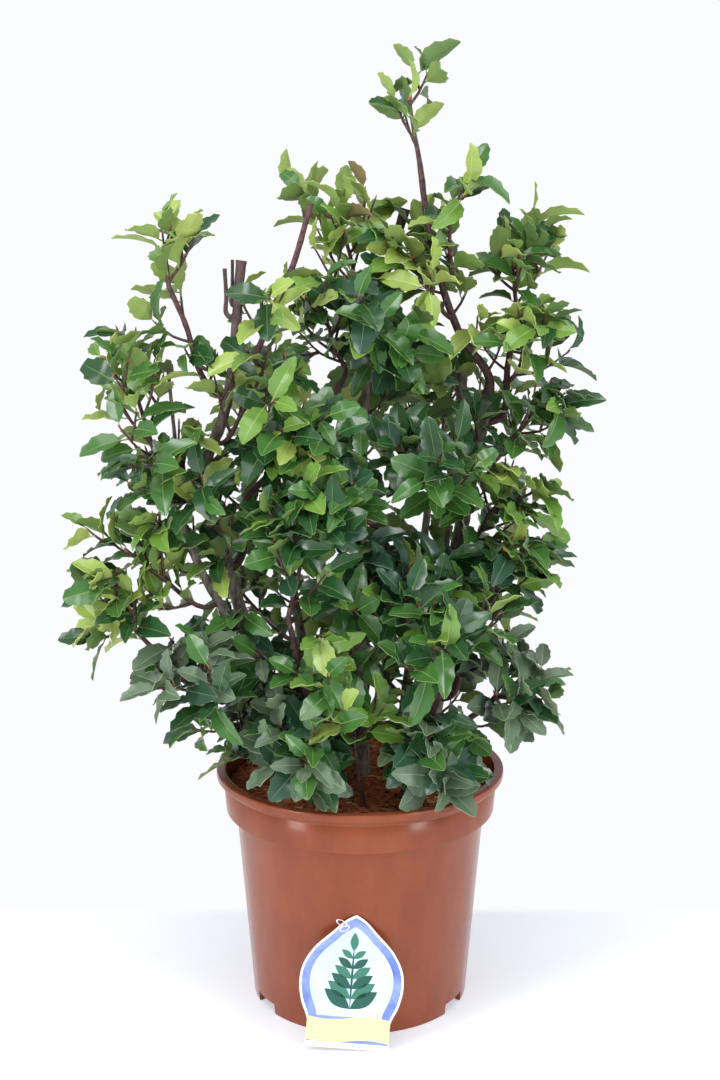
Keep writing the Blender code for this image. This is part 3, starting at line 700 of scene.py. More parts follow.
def smooth_path(points, spacing):
    """The smooth curve through the points, as steps of about the given spacing that keep every point."""
    slopes = curve_slopes(points)
    path = [points[0]]
    for index, (here, there) in enumerate(zip(points, points[1:])):
        length = (there - here).length
        steps = max(1, round(length / spacing))
        for step in range(1, steps + 1):
            part = step / steps
            path.append(
                here * (2 * part**3 - 3 * part**2 + 1)
                + slopes[index] * length * (part**3 - 2 * part**2 + part)
                + there * (3 * part**2 - 2 * part**3)
                + slopes[index + 1] * length * (part**3 - part**2)
            )
    return path


def card_outline(scale, lowest=0.0):
    """The card's outline, shrunk about its middle, from the top down the right side and up the left."""
    corners = [Vector((x * CARD_WIDTH / 2, 0.0, z * CARD_HEIGHT)) for x, z in DOME]
    right = smooth_path(corners, DOME_STEP)
    middle = Vector((0.0, 0.0, DOME_CENTRE * CARD_HEIGHT))
    right = [middle + (point - middle) * scale for point in right]
    right = [point for point in right if point.z >= lowest]
    left = [Vector((-point.x, 0.0, point.z)) for point in reversed(right[1:])]
    return right + left


print("card outline points:", len(card_outline(1.0)))

# %% [markdown]
# The card's print is a blue border, a pale sky, a plain leafy sprig and a cream ribbon. Each colour could be
# a part of one picture, but it is laid on as a very thin layer of its own, so that it has a real edge.

# %% Layers and outlines of the card's print
RIBBON_TOP = 0.23
RIBBON_WIDTH = 0.80
RIBBON_FOOT = 0.24
RIBBON_WAVE = 0.0016
RIBBON_STEPS = 16
LEAF_STEPS = 12


def add_layer(bm, outline, level, thickness, material_index):
    """One flat shape of the card, whose front stands at a level in front of the sheet."""
    corners = [bm.verts.new((point.x, -level * LAYER, point.z)) for point in outline]
    face = bm.faces.new(corners)
    grown = bmesh.ops.extrude_face_region(bm, geom=[face])
    moved = [part for part in grown["geom"] if isinstance(part, bmesh.types.BMVert)]
    bmesh.ops.translate(bm, vec=(0.0, thickness, 0.0), verts=moved)
    new_faces = {near for corner in corners + moved for near in corner.link_faces}
    for near in new_faces:
        near.material_index = material_index


def leaf_outline(foot, turn, length, width):
    """A plain pointed leaf for the sprig, as a closed loop of points."""
    loop = []
    for step in range(LEAF_STEPS + 1):
        part = step / LEAF_STEPS
        across = width / 2 * math.sin(math.pi * part)
        loop.append((across, length * part))
    loop += [(-across, along) for across, along in reversed(loop[1:-1])]
    turned_loop = []
    for across, along in loop:
        x = foot.x + across * math.cos(turn) + along * math.sin(turn)
        z = foot.z - across * math.sin(turn) + along * math.cos(turn)
        turned_loop.append(Vector((x, 0.0, z)))
    return turned_loop


def ribbon_outline():
    """The ribbon at the foot: a band with waved edges."""
    half = CARD_WIDTH / 2 * RIBBON_WIDTH
    top = RIBBON_TOP * CARD_HEIGHT
    upper = [(half * (1 - 2 * step / RIBBON_STEPS), top) for step in range(RIBBON_STEPS + 1)]
    lower = [(-x, z * RIBBON_FOOT) for x, z in upper]
    return [Vector((x, 0.0, z + RIBBON_WAVE * math.sin(x / half * math.pi))) for x, z in upper + lower]


print("ribbon outline points:", len(ribbon_outline()))

# %% [markdown]
# The sheet and its layers are built upright. The whole card is then leaned and turned, and moved to the
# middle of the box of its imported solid. The sprig has a stem, pairs of leaves that get smaller upwards, and
# one leaf at its top.

# %% Print and place the card
BORDER_SCALE = 0.955
BORDER_FOOT = 0.003
SKY_SCALE = 0.80
STEM_FOOT = 0.028
STEM_LENGTH = 0.052
STEM_WIDTH = 0.0016
TOP_LEAF_FOOT = 0.073
TOP_LEAF_LENGTH = 0.014
TOP_LEAF_WIDTH = 0.006
SPRIG_PAIRS = 6
SPRIG_FOOT = 0.030
SPRIG_SPACING = 0.0075
SPRIG_LEAF = 0.024
SPRIG_LESS = 0.0026
SPRIG_TURN = 0.95
SPRIG_SLIMNESS = 0.42
CARD_ROUGHNESS = 0.35
TINTED_ROUGHNESS = 0.32


def make_card():
    """The sheet with its printed layers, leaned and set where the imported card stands."""
    bm = bmesh.new()
    add_layer(bm, card_outline(1.0), 0, CARD_THICKNESS, 0)
    add_layer(bm, card_outline(BORDER_SCALE, BORDER_FOOT), 1, LAYER, 1)
    add_layer(bm, card_outline(SKY_SCALE, RIBBON_TOP * CARD_HEIGHT), 2, LAYER, 2)
    add_layer(bm, ribbon_outline(), 3, LAYER, 3)
    sprig_stem = leaf_outline(Vector((0.0, 0.0, STEM_FOOT)), 0.0, STEM_LENGTH, STEM_WIDTH)
    add_layer(bm, sprig_stem, 3, LAYER, 4)
    for index in range(SPRIG_PAIRS):
        foot = Vector((0.0, 0.0, SPRIG_FOOT + SPRIG_SPACING * index))
        size = SPRIG_LEAF - SPRIG_LESS * index
        for turn in (SPRIG_TURN, -SPRIG_TURN):
            add_layer(bm, leaf_outline(foot, turn, size, size * SPRIG_SLIMNESS), 4, LAYER, 4 + index % 2)
    top_leaf = leaf_outline(Vector((0.0, 0.0, TOP_LEAF_FOOT)), 0.0, TOP_LEAF_LENGTH, TOP_LEAF_WIDTH)
    add_layer(bm, top_leaf, 4, LAYER, 5)
    bmesh.ops.recalc_face_normals(bm, faces=bm.faces)
    lean = Matrix.Rotation(-CARD_LEAN, 4, "X") @ Matrix.Rotation(CARD_TURN, 4, "Y")
    bmesh.ops.transform(bm, matrix=lean, verts=bm.verts)
    low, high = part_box("care_card")
    for axis in range(3):
        values = [vert.co[axis] for vert in bm.verts]
        shift = [0.0, 0.0, 0.0]
        shift[axis] = (low[axis] + high[axis]) / 2 - (min(values) + max(values)) / 2
        bmesh.ops.translate(bm, vec=shift, verts=bm.verts)
    return bm


card_white = plain_material("card white", paint(238, 240, 244), CARD_ROUGHNESS)
border_blue = mottled_material(
    "card border", paint(92, 116, 196), paint(150, 168, 222), TINTED_ROUGHNESS, scale=40.0, bump=0.0
)
sky_blue = mottled_material(
    "card sky", paint(190, 212, 232), paint(220, 232, 240), TINTED_ROUGHNESS, scale=30.0, bump=0.0
)
ribbon_cream = plain_material("card ribbon", paint(234, 218, 168), CARD_ROUGHNESS)
sprig_dark = plain_material("card sprig dark", paint(30, 88, 76), CARD_ROUGHNESS)
sprig_light = plain_material("card sprig light", paint(58, 122, 100), CARD_ROUGHNESS)
card_inks = [card_white, border_blue, sky_blue, ribbon_cream, sprig_dark, sprig_light]
card = finished(make_card(), "care_card_sheet", card_inks)
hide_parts("care_card")

# %% [markdown]
# Two loops of thin white string lie at the top of the card. A curve with a bevel could draw them, but the
# function that spins the pot is there already. Each loop is a small circle spun into a ring, then flattened
# and tilted.

# %% The string loops
STRING_RADIUS = 0.0005
STRING_SIDES = 6
LOOP_STEPS = 28
KNOT_SHIFT = (-0.003, -0.0035, -0.006)
StringLoop = namedtuple("StringLoop", "shift radius stretch tilt")
STRING_LOOPS = (
    StringLoop((-0.004, 0.0, 0.001), 0.0042, 0.45, 0.5),
    StringLoop((-0.002, -0.0006, -0.003), 0.0036, 0.5, -0.4),
)


def string_loop(centre, radius, stretch, tilt):
    """One flattened loop of string, tilted in the plane of the card."""
    bm = bmesh.new()
    place = Matrix.Translation((radius, 0.0, 0.0)) @ Matrix.Rotation(math.pi / 2, 4, "X")
    bmesh.ops.create_circle(bm, segments=STRING_SIDES, radius=STRING_RADIUS, matrix=place)
    spin_round(bm, bm.verts[:] + bm.edges[:], LOOP_STEPS)
    upright = Matrix.Rotation(tilt, 4, "Y") @ Matrix.Rotation(math.pi / 2, 4, "X")
    place = Matrix.Translation(centre) @ upright @ Matrix.Diagonal((1.0, stretch, 1.0, 1.0))
    bmesh.ops.transform(bm, matrix=place, verts=bm.verts)
    return bm


card_low, card_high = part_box("care_card")
card_top = ((card_low[0] + card_high[0]) / 2, card_high[1], card_high[2])
knot = Vector([value + shift for value, shift in zip(card_top, KNOT_SHIFT)])
loops = bmesh.new()
for loop in STRING_LOOPS:
    add_solid(loops, string_loop(knot + Vector(loop.shift), loop.radius, loop.stretch, loop.tilt))
white_string = plain_material("string", paint(240, 240, 240), roughness=0.8)
finished(loops, "card_string", [white_string], ALL_SMOOTH)

# %% [markdown]
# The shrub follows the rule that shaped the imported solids. A limb is a smooth curve that leaves the soil or
# a parent limb. It is given by where it starts, the points that it runs through, and how thick it is at both
# ends. Limbs could grow at random, but then the trunks wouldn't stand where the real ones do.

# %% The limbs
Limb = namedtuple("Limb", "name parent at through tip base_radius tip_radius")
LIMBS = (
    Limb(
        "right_trunk", "soil", (0.052, 0.014),
        ((0.072, 0.018, 0.334),), (0.097, 0.020, 0.472), 0.0066, 0.0050,
    ),
    Limb(
        "leader", "right_trunk", 1.0,
        ((0.076, 0.020, 0.516), (0.052, 0.018, 0.590)), (0.044, 0.017, 0.642), 0.0040, 0.0026,
    ),
    Limb("fork_bough", "right_trunk", 0.93, ((0.112, 0.022, 0.495),), (0.117, 0.020, 0.530), 0.0034, 0.0026),
    Limb("cut_stub", "right_trunk", 0.70, ((0.079, 0.034, 0.435),), (0.077, 0.036, 0.487), 0.0044, 0.0042),
    Limb(
        "left_trunk", "soil", (-0.045, -0.010),
        ((-0.101, -0.018, 0.353), (-0.116, -0.020, 0.418), (-0.101, -0.020, 0.459)),
        (-0.0855, -0.020, 0.5735), 0.0056, 0.0034,
    ),
    Limb(
        "left_shoot", "left_trunk", 0.76,
        ((-0.128, -0.026, 0.533),), (-0.136, -0.028, 0.552), 0.0028, 0.0022,
    ),
    Limb(
        "inner_shoot", "left_trunk", 0.82,
        ((-0.062, -0.022, 0.542), (-0.050, -0.024, 0.566)), (-0.035, -0.026, 0.614), 0.0030, 0.0025,
    ),
    Limb(
        "low_left_bough", "soil", (-0.044, -0.036),
        ((-0.107, -0.050, 0.243),), (-0.152, -0.052, 0.292), 0.0042, 0.0028,
    ),
    Limb(
        "left_bough", "soil", (-0.034, -0.024),
        ((-0.046, -0.028, 0.250), (-0.105, -0.038, 0.325)), (-0.142, -0.035, 0.408), 0.0044, 0.0027,
    ),
    Limb(
        "diagonal_bough", "left_trunk", 0.44,
        ((-0.088, -0.004, 0.390), (-0.047, 0.000, 0.433)), (-0.013, 0.000, 0.485), 0.0036, 0.0026,
    ),
    Limb(
        "centre_trunk", "soil", (0.002, 0.012),
        ((0.000, 0.030, 0.370), (0.013, 0.035, 0.540)), (0.034, 0.035, 0.610), 0.0056, 0.0034,
    ),
    Limb(
        "cross_bough", "right_trunk", 0.50,
        ((0.043, -0.012, 0.356),), (0.002, -0.036, 0.387), 0.0032, 0.0023,
    ),
    Limb(
        "right_low_bough", "right_trunk", 0.22,
        ((0.080, 0.006, 0.268),), (0.098, 0.004, 0.308), 0.0034, 0.0026,
    ),
    Limb(
        "low_right_bough", "soil", (0.055, -0.025),
        ((0.070, -0.035, 0.222),), (0.090, -0.043, 0.242), 0.0038, 0.0027,
    ),
    Limb(
        "front_left_stem", "soil", (-0.020, -0.044),
        ((-0.038, -0.052, 0.253),), (-0.051, -0.058, 0.310), 0.0038, 0.0027,
    ),
    Limb(
        "front_right_stem", "soil", (0.030, -0.040),
        ((0.045, -0.060, 0.225),), (0.058, -0.072, 0.262), 0.0032, 0.0024,
    ),
    Limb("front_sprig_stem", "soil", (0.004, -0.056), (), (-0.002, -0.070, 0.208), 0.0026, 0.0022),
    Limb(
        "back_left_stem", "soil", (-0.022, 0.040),
        ((-0.050, 0.075, 0.280),), (-0.066, 0.100, 0.390), 0.0048, 0.0028,
    ),
    Limb(
        "back_right_stem", "soil", (0.030, 0.042),
        ((0.045, 0.082, 0.280),), (0.058, 0.108, 0.390), 0.0048, 0.0028,
    ),
)
print("limbs:", len(LIMBS))

# %% [markdown]
# A mass of foliage has one stem that leaves a limb, and keeps to the space that lies nearer to its own
# centre than to any other's. Its last two entries are its mix of leaf colours, and the part of the crown
# that it belongs to. Here each mass is carried on to finer twigs and life-size leaves.

# %% The masses
Mass = namedtuple("Mass", "name limb at through tip twigs reach leaves tone group")
MASSES = (
    Mass("leader_tip", "leader", 1.0, (), (0.036, 0.016, 0.688), 1, 0.025, 3, "deep", "top"),
    Mass("leader_right", "leader", 0.50, (), (0.066, 0.006, 0.614), 1, 0.03, 7, "fresh", "top"),
    Mass("leader_left", "leader", 0.36, (), (0.038, -0.006, 0.575), 2, 0.03, 9, "fresh", "top"),
    Mass("fork_top", "fork_bough", 1.0, (), (0.114, 0.018, 0.568), 3, 0.035, 15, "mixed", "right"),
    Mass("fork_right", "fork_bough", 0.45, (), (0.130, 0.000, 0.520), 2, 0.03, 10, "fresh", "right"),
    Mass(
        "right_tip", "right_trunk", 0.82,
        ((0.120, 0.012, 0.445),), (0.139, 0.008, 0.466), 2, 0.03, 14, "deep", "right",
    ),
    Mass(
        "right_middle", "right_trunk", 0.62,
        ((0.100, 0.006, 0.385),), (0.112, 0.000, 0.398), 3, 0.035, 15, "mixed", "right",
    ),
    Mass("right_low", "right_low_bough", 1.0, (), (0.109, 0.000, 0.342), 3, 0.035, 14, "deep", "right"),
    Mass("low_right", "low_right_bough", 1.0, (), (0.103, -0.050, 0.256), 3, 0.032, 14, "dusty", "right"),
    Mass("front_right", "front_right_stem", 1.0, (), (0.064, -0.080, 0.305), 3, 0.04, 18, "deep", "centre"),
    Mass(
        "front_sprig", "front_sprig_stem", 1.0,
        (), (-0.006, -0.084, 0.262), 2, 0.035, 13, "fresh", "skirt",
    ),
    Mass("front_left", "front_left_stem", 1.0, (), (-0.040, -0.062, 0.380), 3, 0.04, 19, "deep", "centre"),
    Mass("low_left_tip", "low_left_bough", 1.0, (), (-0.180, -0.055, 0.330), 2, 0.03, 14, "mixed", "left"),
    Mass("low_left_side", "low_left_bough", 0.62, (), (-0.128, -0.074, 0.276), 2, 0.03, 13, "dusty", "left"),
    Mass(
        "left_middle", "left_bough", 0.66,
        ((-0.145, -0.048, 0.345),), (-0.170, -0.050, 0.366), 2, 0.035, 14, "mixed", "left",
    ),
    Mass(
        "far_left", "left_bough", 1.0,
        ((-0.151, -0.036, 0.440),), (-0.168, -0.036, 0.500), 4, 0.03, 13, "fresh", "left",
    ),
    Mass("left_inner", "left_trunk", 0.55, (), (-0.138, -0.050, 0.430), 2, 0.035, 13, "mixed", "left"),
    Mass("left_peak", "left_shoot", 1.0, (), (-0.139, -0.028, 0.578), 1, 0.025, 4, "fresh", "left"),
    Mass("inner_leaves", "inner_shoot", 0.30, (), (-0.070, -0.042, 0.548), 1, 0.03, 2, "fresh", "top"),
    Mass("left_core", "left_trunk", 0.68, (), (-0.070, -0.036, 0.495), 2, 0.035, 5, "mixed", "left"),
    Mass(
        "diagonal_top", "diagonal_bough", 1.0,
        (), (-0.026, -0.006, 0.536), 3, 0.035, 15, "mixed", "centre",
    ),
    Mass(
        "diagonal_middle", "diagonal_bough", 0.55,
        (), (-0.052, -0.046, 0.455), 3, 0.04, 18, "mixed", "centre",
    ),
    Mass(
        "centre_peak", "centre_trunk", 0.80,
        ((-0.006, 0.030, 0.570),), (-0.016, 0.022, 0.606), 3, 0.035, 12, "lime", "top",
    ),
    Mass("centre_top", "centre_trunk", 0.72, (), (0.022, -0.022, 0.530), 3, 0.04, 18, "deep", "centre"),
    Mass("cross_tip", "cross_bough", 1.0, (), (-0.020, -0.054, 0.408), 3, 0.035, 20, "deep", "centre"),
    Mass("centre_front", "right_trunk", 0.72, (), (0.048, -0.050, 0.440), 3, 0.04, 19, "deep", "centre"),
    Mass("centre_low", "centre_trunk", 0.38, (), (0.014, -0.060, 0.335), 3, 0.04, 20, "deep", "centre"),
    Mass("back_high", "centre_trunk", 0.62, (), (0.022, 0.100, 0.500), 3, 0.04, 18, "mixed", "back"),
    Mass("back_left_top", "back_left_stem", 1.0, (), (-0.078, 0.110, 0.455), 3, 0.04, 14, "mixed", "back"),
    Mass("back_left_side", "back_left_stem", 0.45, (), (-0.108, 0.088, 0.315), 3, 0.04, 14, "deep", "back"),
    Mass("back_right_top", "back_right_stem", 1.0, (), (0.072, 0.118, 0.455), 3, 0.04, 14, "mixed", "back"),
    Mass("back_right_side", "back_right_stem", 0.45, (), (0.104, 0.086, 0.315), 3, 0.04, 14, "deep", "back"),
    Mass("back_low", "back_right_stem", 0.25, (), (0.000, 0.122, 0.262), 3, 0.04, 17, "deep", "back"),
    Mass("skirt_left", "left_trunk", 0.06, (), (-0.090, -0.008, 0.226), 2, 0.03, 18, "dusty", "skirt"),
    Mass("skirt_front", "front_left_stem", 0.35, (), (-0.044, -0.090, 0.222), 2, 0.03, 18, "dusty", "skirt"),
    Mass("skirt_right", "front_right_stem", 0.40, (), (0.052, -0.082, 0.226), 2, 0.03, 18, "dusty", "skirt"),
)
print("masses:", len(MASSES))

# %% [markdown]
# Paths come first. Each shoot starts on its parent's axis, turns out through the bark at a collar, and runs
# through its own points. A coarse version of every path gives the places where other shoots leave it, and a
# fine one is drawn.

# %% Paths of limbs and stems
LIMB_STEP = 0.036
STEM_STEP = 0.030
ROOT_DEPTH = 0.006
SHOOT_SAG = 0.06
COLLAR_LEAN = 0.7
COLLAR_RISE = 1.6
STEM_BASE_RADIUS = 0.0020
STEM_TIP_RADIUS = 0.0012
CENTRE_POSITION = 0.7
Grown = namedtuple("Grown", "points path radii")


def path_length(path):
    """How long a path is."""
    return sum((there - here).length for here, there in zip(path, path[1:]))


def point_along(path, position):
    """The point at a part of the way along a path, from 0 to 1, and the step of the path that holds it."""
    lengths = [(there - here).length for here, there in zip(path, path[1:])]
    left = position * sum(lengths)
    for span, length in enumerate(lengths):
        if left <= length or span == len(lengths) - 1:
            return path[span].lerp(path[span + 1], left / length), span
        left -= length


def directions(path):
    """The direction of travel at each point of a path."""
    last = len(path) - 1
    return [(path[min(i + 1, last)] - path[max(i - 1, 0)]).normalized() for i in range(last + 1)]


def tapered(base_radius, tip_radius, count):
    """Radii that fall evenly from the base to the tip."""
    return [base_radius + (tip_radius - base_radius) * i / (count - 1) for i in range(count)]


def first_points(parent, position, towards, radius):
    """The first two points of a shoot: on its parent's axis, and at the collar outside the bark."""
    if position >= 1.0:
        way = directions(parent.path)[-1]
        return [parent.path[-1], parent.path[-1] + way * (CLEARANCE + radius * COLLAR_RISE)]
    axis_point, span = point_along(parent.path, position)
    way = (parent.path[span + 1] - parent.path[span]).normalized()
    along = (towards - axis_point).dot(way)
    side = (towards - axis_point - way * along).normalized()
    collar = (side + way * math.copysign(COLLAR_LEAN, along)) * radius * COLLAR_RISE
    return [axis_point, axis_point + side * parent.radii[span] + collar]


def shoot_points(start, through, tip):
    """The points of a shoot. One with no point between sags a little, as a growing shoot does."""
    points = start + [Vector(point) for point in through] + [Vector(tip)]
    if not through:
        sag = (points[-1] - points[-2]).length * SHOOT_SAG
        points.insert(-1, points[-2].lerp(points[-1], 0.5) - Vector((0.0, 0.0, sag)))
    return points


grown = {}
for limb in LIMBS:
    if limb.parent == "soil":
        start = [Vector((*limb.at, SOIL_TOP + CLEARANCE - ROOT_DEPTH))]
    else:
        towards = Vector(limb.through[0] if limb.through else limb.tip)
        start = first_points(grown[limb.parent], limb.at, towards, limb.base_radius)
    points = shoot_points(start, limb.through, limb.tip)
    path = smooth_path(points, LIMB_STEP)
    grown[limb.name] = Grown(points, path, tapered(limb.base_radius, limb.tip_radius, len(path)))
stem_points = []
for mass in MASSES:
    towards = Vector(mass.through[0] if mass.through else mass.tip)
    start = first_points(grown[mass.limb], mass.at, towards, STEM_BASE_RADIUS)
    stem_points.append(shoot_points(start, mass.through, mass.tip))
centres = [point_along(smooth_path(points, STEM_STEP), CENTRE_POSITION)[0] for points in stem_points]
print("highest limb tip:", max(round(limb.tip[2], 3) for limb in LIMBS))

# %% [markdown]
# A limb could be a curve with a round bevel, but bark needs a changing radius and a relief. So it is a
# tube: a circle extruded from one frame of the path to the next.


# %% Tubes along a path
def frames(path, radii):
    """A matrix at each point of a path that carries a unit circle there, turned as little as it can be."""
    side = directions(path)[0].orthogonal().normalized()
    found = []
    for point, way, radius in zip(path, directions(path), radii):
        side = (side - way * side.dot(way)).normalized()
        turn = Matrix((side, way.cross(side), way)).transposed().to_4x4()
        found.append(Matrix.Translation(point) @ turn @ Matrix.Diagonal((radius, radius, radius, 1.0)))
    return found


def tube(path, radii, sides):
    """A capped tube along a path: a circle, extruded from frame to frame. Its last cap is slot 1."""
    places = frames(path, radii)
    bm = bmesh.new()
    bmesh.ops.create_circle(bm, segments=sides, radius=1.0, matrix=places[0])
    ring_edges = list(bm.edges)
    for here, there in zip(places, places[1:]):
        grown_ring = bmesh.ops.extrude_edge_only(bm, edges=ring_edges)["geom"]
        ring = [part for part in grown_ring if isinstance(part, bmesh.types.BMVert)]
        ring_edges = [part for part in grown_ring if isinstance(part, bmesh.types.BMEdge)]
        ring_edges = [edge for edge in ring_edges if all(vert in ring for vert in edge.verts)]
        bmesh.ops.transform(bm, matrix=there @ here.inverted(), verts=ring)
    bmesh.ops.holes_fill(bm, edges=ring_edges)
    end_cap = [face for face in bm.faces if all(vert in ring for vert in face.verts)]
    bmesh.ops.holes_fill(bm, edges=[edge for edge in bm.edges if edge.is_boundary])
    bmesh.ops.recalc_face_normals(bm, faces=bm.faces)
    for face in end_cap:
        face.material_index = 1
    return bm


sample = tube([Vector((0.0, 0.0, 0.0)), Vector((0.0, 0.0, 1.0))], [1.0, 1.0], 4)
print("faces of a tube with four sides and two rings:", len(sample.faces))
sample.free()

# %% [markdown]
# A limb flares where it leaves the soil or its parent, swells at the old leaf scars, and has ridges along
# the grain. The first two change the radius of the tube. The ridges are noise that moves its vertices.

# %% Bark on a tube
SCAR_SPACING = 0.021
SCAR_SWELL = 0.08
SCAR_WIDTH = 0.0028
FLARE = 0.45
FLARE_LENGTH = 0.007
CUT_FLARE = 0.14
FIRST_SCAR = 0.4
RELIEF = 0.07
RIDGE_ACROSS = 420.0
RIDGE_ALONG = 90.0
GRAIN_SCALE = 900.0
RIDGE_SHARE = 0.8
GRAIN_SHARE = 0.3


def limb_radii(path, base_radius, tip_radius, cut_end):
    """Radii with a flare at the foot, swellings at the scars and, on a cut end, a flared rim."""
    total = path_length(path)
    travelled = 0.0
    radii = []
    for index, point in enumerate(path):
        if index:
            travelled += (point - path[index - 1]).length
        radius = base_radius + (tip_radius - base_radius) * travelled / total
        radius *= 1.0 + FLARE * math.exp(-travelled / FLARE_LENGTH)
        offset = (travelled + FIRST_SCAR * SCAR_SPACING) % SCAR_SPACING - SCAR_SPACING / 2
        radius *= 1.0 + SCAR_SWELL * math.exp(-((offset / SCAR_WIDTH) ** 2))
        if cut_end:
            radius *= 1.0 + CUT_FLARE * math.exp(-(total - travelled) / FLARE_LENGTH)
        radii.append(radius)
    return radii


def roughen(bm, amount):
    """Pushes the bark in and out along its normals, in ridges that run with the stem."""
    bm.normal_update()
    for vert in bm.verts:
        x, y, z = vert.co
        ridge = noise.noise(Vector((x * RIDGE_ACROSS, y * RIDGE_ACROSS, z * RIDGE_ALONG)))
        grain = noise.noise(Vector((x, y, z)) * GRAIN_SCALE)
        vert.co += vert.normal * amount * (RIDGE_SHARE * ridge + GRAIN_SHARE * grain)


print("old leaf scars stand", SCAR_SPACING, "m apart")

# %% [markdown]
# All limbs and a few thin cut stubs become one piece. They overlap inside each other at the forks, so the
# joins look grown. Thin limbs are young wood and get the purple bark. They are drawn a little slimmer than
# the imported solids.

# %% Draw the trunks and boughs
LIMB_SIDES = 14
DRAWN_STEP = 0.0026
CUT_ENDS = {"left_trunk", "cut_stub", "centre_trunk", "inner_shoot"}
Stub = namedtuple("Stub", "limb at tip radius")
STUBS = (
    Stub("left_trunk", 0.90, (-0.0975, -0.023, 0.568), 0.0017),
    Stub("left_trunk", 0.92, (-0.0925, -0.014, 0.574), 0.0014),
    Stub("left_trunk", 0.80, (-0.1170, -0.026, 0.498), 0.0016),
    Stub("left_bough", 0.92, (-0.1395, -0.028, 0.497), 0.0016),
    Stub("centre_trunk", 0.86, (0.0095, 0.031, 0.592), 0.0019),
    Stub("centre_trunk", 0.85, (0.0415, 0.026, 0.578), 0.0018),
    Stub("right_trunk", 0.60, (0.0660, 0.006, 0.402), 0.0018),
)
OLD_WOOD = 0.0043
YOUNG_SLOT = 2
YOUNG_SLIMNESS = 0.82
STUB_SIDES = 9
STUB_TAPER = 0.8

wood = bmesh.new()
for limb in LIMBS:
    fine_path = smooth_path(grown[limb.name].points, DRAWN_STEP)
    slimness = YOUNG_SLIMNESS if limb.base_radius < OLD_WOOD else 1.0
    limb_ends = limb.base_radius * slimness, limb.tip_radius * slimness
    radii = limb_radii(fine_path, *limb_ends, limb.name in CUT_ENDS)
    limb_tube = tube(fine_path, radii, LIMB_SIDES)
    if limb.base_radius < OLD_WOOD:
        for face in limb_tube.faces:
            face.material_index = face.material_index or YOUNG_SLOT
    roughen(limb_tube, RELIEF * limb.base_radius)
    add_solid(wood, limb_tube)
for stub in STUBS:
    start = first_points(grown[stub.limb], stub.at, Vector(stub.tip), stub.radius)
    fine_path = smooth_path(shoot_points(start, (), stub.tip), DRAWN_STEP)
    radii = limb_radii(fine_path, stub.radius, stub.radius * STUB_TAPER, True)
    stub_tube = tube(fine_path, radii, STUB_SIDES)
    roughen(stub_tube, RELIEF * stub.radius)
    add_solid(wood, stub_tube)
stems = finished(wood, "trunks_and_boughs", [old_bark, cut_wood, young_bark], WOOD_EDGE_ANGLE)
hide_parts(*[limb.name for limb in LIMBS])

# %% [markdown]
# A holly leaf is a thin stiff blade: pointed, folded along a pale midrib, with a few spiny teeth, a pale
# margin and a tip that curves down. The pattern leaf starts as a grid three faces wide. Its vertices are
# moved to the outline and the fold, and it then gets its thickness. A few variants differ in fold and curl.
# A leaf is one unit long here, and is scaled to its real length when it is placed.

# %% The pattern leaf
LEAF_ROWS = 8
LEAF_WIDTH = 0.47
PETIOLE = 0.15
RIB_HALF = 0.012
TOOTH = 0.095
BLADE_THICKNESS = 0.012
RIM_SLOPE = 0.25
TOOTH_FORWARD = 0.030
PETIOLE_BASE = 0.022
PETIOLE_TIP = 0.014
PETIOLE_OVERLAP = 0.06
PETIOLE_SHIFT = 0.02
PETIOLE_DROP = 0.008
BELLY_POWER = 0.62
BELLY_LEAN = 0.3
HOLLOW_SHARE = 0.5
RIB_TAPER = 1.2
OUTER_COLUMN = 0.3
CURL_POWER = 2.2
WAVE_TURNS = 5.0
WAVE_GAIN = 4.0
LeafForm = namedtuple("LeafForm", "fold curl wave width")
LEAF_FORMS = (
    LeafForm(0.34, 0.20, 0.020, 1.00),
    LeafForm(0.50, 0.30, 0.030, 0.92),
    LeafForm(0.22, 0.12, 0.035, 1.08),
    LeafForm(0.62, 0.38, 0.015, 0.86),
    LeafForm(0.28, 0.26, 0.045, 1.02),
)


def half_width(part, row):
    """Half the blade's width at a part of its length, with a tooth on every second row."""
    belly = (4.0 * part * (1.0 - part)) ** BELLY_POWER * (1.0 + BELLY_LEAN * (0.5 - part))
    tooth = TOOTH if row % 2 else -HOLLOW_SHARE * TOOTH
    return max(2.0 * RIB_HALF, LEAF_WIDTH / 2 * belly * (1.0 + tooth))


